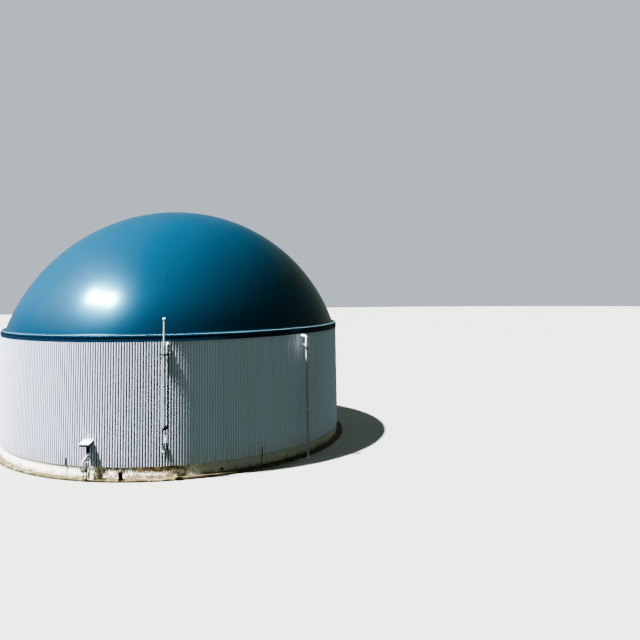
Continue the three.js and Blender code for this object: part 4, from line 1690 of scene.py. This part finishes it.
        self.here_joined("pot_bracket_bolts", bolts_at("plate_bolt", corners, OUT, 0.020), FINISHES.bolt)

    def build_sight_tube(self, x: float, y: float) -> None:
        """Stand the pale sight tube on the pot's flange, in front of the cone.

        Args:
            x: Its place along the wall.
            y: Its place out from the wall.
        """
        r, low, high = 0.017, self.cone_bottom + 0.002, self.cone_top + 0.02
        tube = [
            (0, low), (0.030, low), (0.030, low + 0.020), (r, low + 0.024), (r, high - 0.05),
            (0.026, high - 0.046), (0.026, high - 0.010), (0.018, high), (0, high),
        ]
        glass = turned("pot_sight_tube", tube, 24, (x, y, 0))
        link = turned("link", disc(0.009, 0, 0.075), 12, (x, y, high - 0.028), (0, 1, 0))
        self.here_joined("pot_sight_tube", [glass, link], FINISHES.galvanised)


@dataclass
class GasOutlet(Assembly):
    """Gas outlet: a wall flange and elbow under the band, then a pipe down to a foot flange."""

    station: float = 37.5
    x: float = 0.38
    out: float = 0.47
    radius: float = 0.062
    z: float = 6.60
    bend: float = 0.15
    coupling_z: float = 5.96
    coupling_radius: float = 0.092
    foot: float = 0.022
    welds: Tuple[float, float] = (1.94, 3.94)
    clamps: Tuple[float, float] = (6.12, 2.60)

    def build(self) -> None:
        """Build the outlet from the wall down to the ground."""
        self.build_elbow()
        self.build_down_pipe()
        self.build_clamps()

    def build_elbow(self) -> None:
        """Bolt the flange to the wall and bend the elbow out of it."""
        x, y, z, r = self.x, out_from_cladding(self.out), self.z, self.radius
        outline = [(0, 0), *rim(0.080, 0, 0.014), (0, 0.014)]
        flange = turned("outlet_flange", outline, 40, (x, out_from_cladding(SEAT_GAP), z), OUT)
        self.here(flange, FINISHES.galvanised, "gas_outlet_flange")
        corners = [(x, out_from_cladding(0.0148), z), (x, y, z), (x, y, self.coupling_z)]
        parts = [bent_pipe("outlet_elbow", corners, r, self.bend, 40)]
        bead = closed(raised(r - 0.002, -0.006, 0.006, 0.005, 0.003))
        for at, axis in (((x, y + self.bend, z), OUT), ((x, y, z - self.bend), UP)):
            parts.append(turned("weld", bead, 40, at, axis))
        self.here_joined("outlet_elbow", parts, FINISHES.white, "gas_outlet_elbow")

    def build_down_pipe(self) -> None:
        """Hang the down pipe from its flanged coupling and stand it on its foot flange."""
        x, y, r = self.x, out_from_cladding(self.out), self.radius
        foot, join, wide = self.foot, self.coupling_z, self.coupling_radius
        outline = [(0, foot), (r + 0.010, foot), (r + 0.008, foot + 0.010), (r, foot + 0.018)]
        for weld in self.welds:
            outline += raised(r, weld - 0.006, weld + 0.006, 0.003, 0.003)
        outline += [(r, join - 0.001), (0, join - 0.001)]
        # Painted shade: the down pipe gets the dark grey outlet finish, not the elbow's white.
        self.here(turned("outlet_down_pipe", outline, 40, (x, y, 0)), FINISHES.outlet, "gas_down_pipe")
        half = [
            (r + SEAT_GAP, -0.030), (wide - 0.002, -0.030), (wide, -0.028), (wide, -0.006),
            (wide - 0.003, -0.004),
            (wide - 0.010, -0.004),
        ]
        coupling = turned("outlet_coupling", closed(mirrored(half, 0)), 40, (x, y, join))
        self.here(coupling, FINISHES.dark, "gas_pipe_coupling")
        plate = [(0, 0), *rim(0.115, 0, foot), (0, foot)]
        flange = turned("outlet_foot_flange", plate, 40, (x, y, 0))
        self.here(flange, FINISHES.galvanised, "gas_foot_flange")
        bolts = [
            bolt_circle("bolts", (x, y, foot), UP, 0.094, 8, 0.020),
            bolt_circle("bolts", (x, y, join + 0.030), UP, 0.078, 8, 0.016),
            bolt_circle("bolts", (x, y, join - 0.030), DOWN, 0.078, 8, 0.016),
        ]
        self.here_joined("outlet_flange_bolts", bolts, FINISHES.bolt)

    def build_clamps(self) -> None:
        """Hold the pipe off the wall with two clamps on plates."""
        x, y, r = self.x, out_from_cladding(self.out), self.radius
        back, front = out_from_cladding(SEAT_GAP), out_from_cladding(0.0105)
        bolts = []
        for place, z in zip(("upper", "lower"), self.clamps):
            plate = block("plate", (x - 0.075, front, z - 0.075), (x + 0.075, back, z + 0.075), 0.0025)
            arm = block("arm", (x - 0.020, y + r + 0.006, z - 0.025), (x + 0.020, front, z + 0.025), 0.003)
            ring = round_edges(lathe("ring", hoop(r + SEAT_GAP, r + 0.010, -0.025, 0.025), 40), 0.002, 1)
            parts = [plate, arm, stand(ring, (x, y, z))]
            for side in (-1, 1):
                left, right = sorted((x + side * (r + 0.008), x + side * (r + 0.042)))
                for lug_y in (y - 0.006, y + 0.006):
                    low, high = (left, lug_y - 0.004, z - 0.022), (right, lug_y + 0.004, z + 0.022)
                    parts.append(block("lug", low, high, 0.0015))
            self.here_joined(f"outlet_clamp_{place}", parts, FINISHES.galvanised, f"gas_pipe_clamp_{place}")
            for side in (-1, 1):
                bolts += bolts_at("bolt", [(x + side * (r + 0.026), y - 0.010, z)], OUT, 0.016)
                corners = [(x + side * 0.050, front, z + dz) for dz in (-0.050, 0.050)]
                bolts += bolts_at("bolt", corners, OUT, 0.018)
        self.here_joined("outlet_clamp_bolts", bolts, FINISHES.bolt)


@dataclass
class AirSet(Assembly):
    """Support-air set at the foot of the wall: hood, neck, duct, boxes and branch pipe."""

    station: float = -22.5
    hood_left: float = -0.49
    hood_right: float = 0.03
    hood_depth: float = 0.44
    hood_back_top: float = 1.93
    hood_front_top: float = 1.825
    hood_skirt: float = 0.13
    neck_x: float = -0.06
    neck_out: float = 0.30
    neck_radius: float = 0.072
    neck_bottom: float = 1.42
    neck_rings: int = 9
    duct_radius: float = 0.070
    duct_bend_top: float = 1.30
    duct_bend_low: float = 0.93
    duct_end_x: float = -0.33
    duct_end_z: float = 0.78
    box_left: float = -0.405
    box_right: float = -0.125
    box_out: float = 0.205
    box_depth: float = 0.190
    box_bottom: float = 0.46
    louvres: int = 6
    leg: float = 0.045
    leg_y: float = -10.92
    valve_x: float = 0.035
    valve_radius: float = 10.82
    valve_turn: float = 7.0
    valve_top: float = 0.45
    branch_x: float = -0.05
    branch_z: float = 0.56

    def build(self) -> None:
        """Build the set from the hood down to the boxes."""
        self.build_hood()
        self.build_neck()
        self.build_duct()
        self.build_gauge(self.box_right - 0.030, out_from_cladding(self.box_out + 0.10))
        self.build_service_box()
        self.build_stand()
        self.build_valve_box()
        self.build_branch()

    def build_hood(self) -> None:
        """Fold the rain hood from sheet, with a hem, a wall flange and rivets. Its skirts and hems are
        dressed dark as painted shade on the white hood.
        """
        back, front = out_from_cladding(0.001), out_from_cladding(self.hood_depth)
        low, high = self.hood_back_top - self.hood_skirt, self.hood_back_top
        fall = self.hood_back_top - self.hood_front_top
        left, right = self.hood_left, self.hood_right
        hood = block("rain_hood_sheet", (left, front, high - 0.030), (right, back, high))
        inner, top, hem_low, hem_high = front + 0.004, high - 0.010, low - 0.004, low + 0.012
        panels = [
            block("front", (left + 0.004, inner, low), (right - 0.004, front + 0.007, top)),
            block("side", (left + 0.004, inner, low), (left + 0.007, back, top)),
            block("side", (right - 0.007, inner, low), (right - 0.004, back, top)),
        ]
        for x in (left, right):
            panels.append(block("hem", (x - 0.003, front, hem_low), (x + 0.003, back, hem_high), 0.0015))
        panels.append(block("hem", (left, front - 0.002, hem_low), (right, inner, hem_high), 0.0015))
        for piece in (hood, *panels):
            with Edit(piece) as edit:
                edit.pick(Kind.VERTEX, lambda place, normal: place.y < (front + back) / 2)
                edit.shift((0, 0, -fall))
        with Edit(hood) as edit:
            edit.pick_facing(DOWN)
            edit.delete()
        thicken(round_edges(hood, 0.010, 3), 0.003)
        # Painted shade: the white hood's front and side skirts and its hems get the dark finish.
        self.here_joined("rain_hood_skirt_painted_shade", panels, FINISHES.dark)
        corner, far = (left - 0.02, back - 0.003, high - 0.01), (right + 0.02, back, high + 0.05)
        flange = block("wall_flange", corner, far, 0.001)
        self.here_joined("rain_hood_sheet", [hood, flange], FINISHES.white, "rain_hood")
        rivets = []
        for step in range(5):
            share = (step + 0.5) / 5
            y, z = back + (front - back) * share, low + 0.05 - fall * share
            rivets += bolts_at("rivet", [(right, y, z)], (1, 0, 0), 0.010, 8)
            rivets += bolts_at("rivet", [(left, y, z)], (-1, 0, 0), 0.010, 8)
        places = [(x, back - 0.003, high + 0.03) for x in (-0.44, -0.29, -0.14, 0.0)]
        rivets += bolts_at("rivet", places, OUT, 0.014, 8)
        self.here_joined("rain_hood_rivets", rivets, FINISHES.bolt)

    def build_neck(self) -> None:
        """Stand the intake neck with its filter ring under the hood."""
        x, y, r, low = self.neck_x, out_from_cladding(self.neck_out), self.neck_radius, self.neck_bottom
        slope = (self.hood_back_top - self.hood_front_top) / self.hood_depth
        top = self.hood_back_top - 0.014 - slope * (self.neck_out + r)
        outline = [(0, low), *rim(0.092, low, low + 0.024), (r, low + 0.026)]
        outline += raised(r, low + 0.10, low + 0.12, 0.006, 0.004)
        start, end = low + 0.15, top - 0.03
        for ring in range(self.neck_rings):
            z = start + (end - start) * ring / self.neck_rings
            outline += [(r, z), (r + 0.005, z + 0.004), (r + 0.005, z + 0.012), (r - 0.004, z + 0.016)]
        outline += [(r, end), (r, top), (0, top)]
        self.here(turned("intake_neck_body", outline, 40, (x, y, 0)), FINISHES.dark, "intake_neck")
        bolts = bolt_circle("neck_flange_bolts", (x, y, low + 0.024), UP, 0.083, 8, 0.012)
        self.here(bolts, FINISHES.bolt)

    def build_duct(self) -> None:
        """Run the white duct down and left into the service box, held by bands."""
        y, r = out_from_cladding(self.neck_out), self.duct_radius
        upper = Vector((self.neck_x, y, self.duct_bend_top))
        lower = Vector((self.duct_end_x, y, self.duct_bend_low))
        head, end = (self.neck_x, y, self.neck_bottom), (self.duct_end_x, y, self.duct_end_z)
        duct = bent_pipe("air_duct_pipe", [head, tuple(upper), tuple(lower), end], r, r * 1.6, 40)
        self.here(duct, FINISHES.white, "air_duct")
        slant = (lower - upper).normalized()
        places = [
            ((self.neck_x, y, self.neck_bottom - 0.035), UP),
            (tuple(upper + slant * 0.14), slant),
            (tuple(upper + slant * 0.32), slant),
            ((self.duct_end_x, y, self.duct_end_z + 0.035), UP),
        ]
        band = hoop(r + 0.0004, r + 0.003, -0.011, 0.011)
        bands = [turned("band", band, 40, at, axis) for at, axis in places]
        self.here_joined("duct_bands", bands, FINISHES.bolt)

    def build_gauge(self, x: float, y: float) -> None:
        """Stand the pressure gauge on its white riser beside the duct.

        Args:
            x: Its place along the wall.
            y: Its place out from the wall.
        """
        base = [
            (0, 0.78), (0.050, 0.78), (0.050, 0.80), (0.036, 0.806), (0.036, 0.850), (0.050, 0.856),
            (0.050, 0.90),
            (0, 0.90),
        ]
        foot = turned("gauge_foot", base, 24, (x, y, 0))
        lever = block("lever", (x - 0.012, y - 0.11, 0.862), (x + 0.012, y, 0.876), 0.003)
        dial_at = (x + 0.058, y + 0.018, 1.045)
        case = [(0, 0), *rim(0.050, 0, 0.036, 0.004), (0.043, 0.032), (0, 0.032)]
        body = turned("gauge_case", case, 32, dial_at, OUT)
        self.here_joined("box_gauge", [foot, lever, body], FINISHES.dark)
        riser = [(0, 0.898), (0.024, 0.898), (0.024, 1.10), (0.020, 1.12), (0, 1.12)]
        tube = turned("riser", riser, 24, (x, y, 0))
        dial = turned("dial", disc(0.022, 0.0325, 0.0335), 32, dial_at, OUT)
        self.here_joined("box_gauge_riser", [tube, dial], FINISHES.white)

    def build_service_box(self) -> None:
        """Build the grey-green service box with its roof, door, hinges, lock and louvres."""
        back = out_from_cladding(self.box_out)
        front = back - self.box_depth
        left, right, low, top = self.box_left, self.box_right, self.box_bottom, self.duct_end_z
        body = block("service_box_case", (left, front, low), (right, back, top - 0.006))
        with Edit(body) as edit:
            edit.pick_facing(OUT)
            edit.inset(0.014)
            edit.inset(0.0015, -0.004)
            edit.inset(0.0015, 0.007)
        corner, far = (left - 0.008, front - 0.014, top - 0.014), (right + 0.008, back + 0.002, top)
        parts = [round_edges(body, 0.003), block("roof", corner, far, 0.003)]
        for index in range(self.louvres):
            z = low + 0.10 + index * 0.022
            near, far = (right - 0.001, front + 0.045, z), (right + 0.009, back - 0.045, z + 0.014)
            slat = block("louvre", near, far)
            with Edit(slat) as edit:
                edit.pick(Kind.VERTEX, lambda place, normal, z=z: place.z > z + 0.007 and place.x > right)
                edit.shift((-0.009, 0, 0))
            parts.append(slat)
        for z in (low + 0.05, top - 0.10):
            parts.append(turned("hinge", disc(0.008, 0, 0.045), 16, (left + 0.008, front - 0.004, z)))
        self.here_joined("service_box_case", parts, FINISHES.box, "service_box")
        lock = [
            (0, 0), (0.016, 0), (0.018, 0.003), (0.018, 0.008), (0.010, 0.010), (0.010, 0.018), (0, 0.018),
        ]
        at = (right - 0.040, front - 0.004, (low + top) / 2)
        self.here(turned("service_box_lock", lock, 24, at, OUT), FINISHES.dark)

    def build_stand(self) -> None:
        """Stand the service box on two angle legs with feet and a rail."""
        front, wide, low, top = self.leg_y, self.leg, SLAB_TOP, self.box_bottom
        back = front + wide
        left, right = self.box_left + 0.035, self.box_right - 0.035 - wide
        parts = []
        for x in (left, right):
            leg = block("leg", (x, front, low), (x + wide, back, top))
            with Edit(leg) as edit:
                edit.pick_facing(OUT)
                edit.inset(0.005)
                edit.extrude((0, wide - 0.006, 0))
            corner, far = (x - 0.02, front - 0.015, low), (x + wide + 0.02, back + 0.02, low + 0.008)
            parts += [round_edges(leg, 0.0015, 1), block("foot", corner, far, 0.0015)]
        corner, far = (left + 0.01, front + 0.004, 0.23), (right + wide - 0.01, front + 0.010, 0.27)
        parts.append(block("rail", corner, far, 0.0015))
        corner, far = (left, front, top - 0.03), (right + wide, back, top - 0.0005)
        parts.append(block("saddle", corner, far, 0.002))
        self.here_joined("service_stand", parts, FINISHES.dark, "service_box_stand")
        feet = [(x + dx, back + 0.010, low + 0.008) for x in (left, right) for dx in (-0.010, wide + 0.010)]
        self.here_joined("service_stand_bolts", bolts_at("foot_bolt", feet, UP, 0.014), FINISHES.bolt)

    def build_valve_box(self) -> None:
        """Set the cream valve box on the slab, with its lid."""
        top = self.valve_top
        body = block("valve_box_case", (-0.151, -0.101, SLAB_TOP), (0.151, 0.101, top - 0.045))
        with Edit(body) as edit:
            edit.pick(Kind.FACE, lambda middle, normal: abs(normal.z) < 0.1)
            edit.inset(0.030, -0.006, each=True)
        round_edges(body, 0.012, 3)
        lid = block("lid", (-0.155, -0.105, top - 0.050), (0.155, 0.105, top - 0.004))
        with Edit(lid) as edit:
            edit.pick_facing(UP)
            edit.inset(0.030, 0.004)
        round_edges(lid, 0.014, 3)
        box = joined("valve_box_case", [body, lid])
        box.rotation_euler = (0, 0, math.radians(self.valve_turn))
        box.location = (self.valve_x, -self.valve_radius, 0)
        self.here(settle(box), FINISHES.cream, "valve_box")

    def build_branch(self) -> None:
        """Run the branch pipe from the valve box's lid up and into the wall."""
        x, y, foot, rise, r = self.branch_x, -self.valve_radius, self.valve_top - 0.004, self.branch_z, 0.040
        wall = (x, -WALL_FACE - SEAT_GAP, rise)
        pipe = bent_pipe("wall_branch", [(x, y, foot), (x, y, rise), wall], r, 0.07)
        collar = closed([(r - 0.002, 0), (r + 0.010, 0), (r + 0.010, 0.020), (r - 0.002, 0.024)])
        rosette = closed([(r - 0.002, 0), (r + 0.022, 0), (r + 0.020, 0.006), (r - 0.002, 0.010)])
        parts = [pipe, turned("collar", collar, 32, (x, y, foot)), turned("rosette", rosette, 32, wall, OUT)]
        self.here_joined("wall_branch", parts, FINISHES.white, "wall_branch_pipe")


@dataclass
class FootItems:
    """Small things at the foot: the inspection pipe, the earthing straps and the drain stub."""

    pipe_station: float = -12.5
    pipe_x: float = -0.35
    pipe_radius: float = 10.83
    cap_sides: int = 48
    strap_station: float = -32.5
    strap_x: float = 0.353
    strap_width: float = 0.050
    strap_thickness: float = 0.0036
    jog_z: float = 0.600
    strap_top: float = 1.01
    far_strap_station: float = 24.3
    drain_station: float = 12.2

    def build(self) -> None:
        """Build the inspection pipe, both earthing straps and the drain stub."""
        self.build_inspection()
        self.build_strap("earthing_strap_front", self.strap_station, self.strap_x, "earthing_strap")
        self.build_strap("earthing_strap_side", self.far_strap_station, 0.0)
        self.build_drain()

    def is_groove(self, middle: Vector, normal: Vector) -> bool:
        """Tell whether a face is a groove of the screw cap, which every fourth face of its rim is."""
        side = int((math.atan2(middle.y, middle.x) + math.pi) / FULL_TURN * self.cap_sides)
        return abs(normal.z) < 0.1 and side % 4 == 0

    def build_inspection(self) -> None:
        """Stand the brown inspection pipe with its gripped screw cap."""
        at = (self.pipe_x, -self.pipe_radius, 0)
        tube = [
            (0, SLAB_TOP), (0.118, SLAB_TOP), (0.118, 0.150), (0.112, 0.158), (0.108, 0.164),
            (0.104, 0.172), (0.104, 0.330),
            (0.112, 0.336), (0.112, 0.386), (0, 0.386),
        ]
        pipe = turned("inspection_tube", tube, 32, at)
        hand_over(carry_to_station(pipe, self.pipe_station), FINISHES.brown, "inspection_pipe")
        outline = [(0, 0.385), (0.122, 0.385), (0.122, 0.440), (0.112, 0.450), (0, 0.450)]
        cap = lathe("inspection_screw_cap", outline, self.cap_sides)
        with Edit(cap) as edit:
            edit.pick(Kind.FACE, self.is_groove)
            edit.inset(0.0008, -0.004, each=True)
            edit.pick_facing(UP)
            edit.inset(0.010, -0.004)
        cap = carry_to_station(stand(cap, at), self.pipe_station)
        hand_over(cap, FINISHES.brown, "inspection_cap")

    def build_strap(self, name: str, station: float, x: float, *nodes: str) -> None:
        """Fold a flat earthing strap up the plinth and over the cladding's foot.

        Args:
            name: The piece's name.
            station: Degrees round the tank.
            x: Its middle in the station's frame.
            nodes: The solid that it stands for, if there is one.
        """
        wall, cladding = WALL_FACE + SEAT_GAP, CLADDING_FACE + 0.0012
        rise = [(wall, SLAB_TOP), (wall, self.jog_z), (cladding, self.jog_z), (cladding, self.strap_top)]
        strap = draw_line(name, [(x - self.strap_width / 2, -radius, z) for radius, z in rise])
        with Edit(strap) as edit:
            edit.extrude((self.strap_width, 0, 0))
            edit.face_out()
        add_modifier(turn_out(strap), "SOLIDIFY", thickness=self.strap_thickness, offset=1)
        round_edges(strap, 0.0015, 1)
        hand_over(carry_to_station(strap, station), FINISHES.dark, *nodes)
        heights = ((wall, 0.22), (wall, 0.48), (cladding, 0.74), (cladding, 0.95))
        places = [(x, -(radius + 0.0045), z) for radius, z in heights]
        heads = joined(name + "_bolts", bolts_at("strap_bolt", places, OUT, 0.018))
        hand_over(carry_to_station(heads, station), FINISHES.bolt)

    def build_drain(self) -> None:
        """Put the capped drain stub low on the plinth."""
        stub = [
            (0, 0), (0.062, 0), (0.062, 0.006), (0.044, 0.010), (0.044, 0.060), (0.058, 0.064),
            (0.058, 0.094),
            (0.050, 0.100), (0, 0.100),
        ]
        drain = turned("drain_stub", stub, 32, (0, -WALL_FACE - SEAT_GAP, 0.24), OUT)
        hand_over(carry_to_station(drain, self.drain_station), FINISHES.dark)


def main() -> None:
    """Build the digester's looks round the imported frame."""
    logging.basicConfig(level=logging.INFO, format="%(name)s %(message)s")
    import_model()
    studio = Studio()
    studio.build()
    assemblies = (
        Foundation(), RibbedCladding(), EdgeBand(), Dome(), ReliefLine(), GasOutlet(), AirSet(), FootItems(),
    )
    for assembly in assemblies:
        assembly.build()
        LOG.info("built the %s", type(assembly).__name__)
    studio.share_lights()
    clear_selection()


if __name__ == "__main__":
    main()
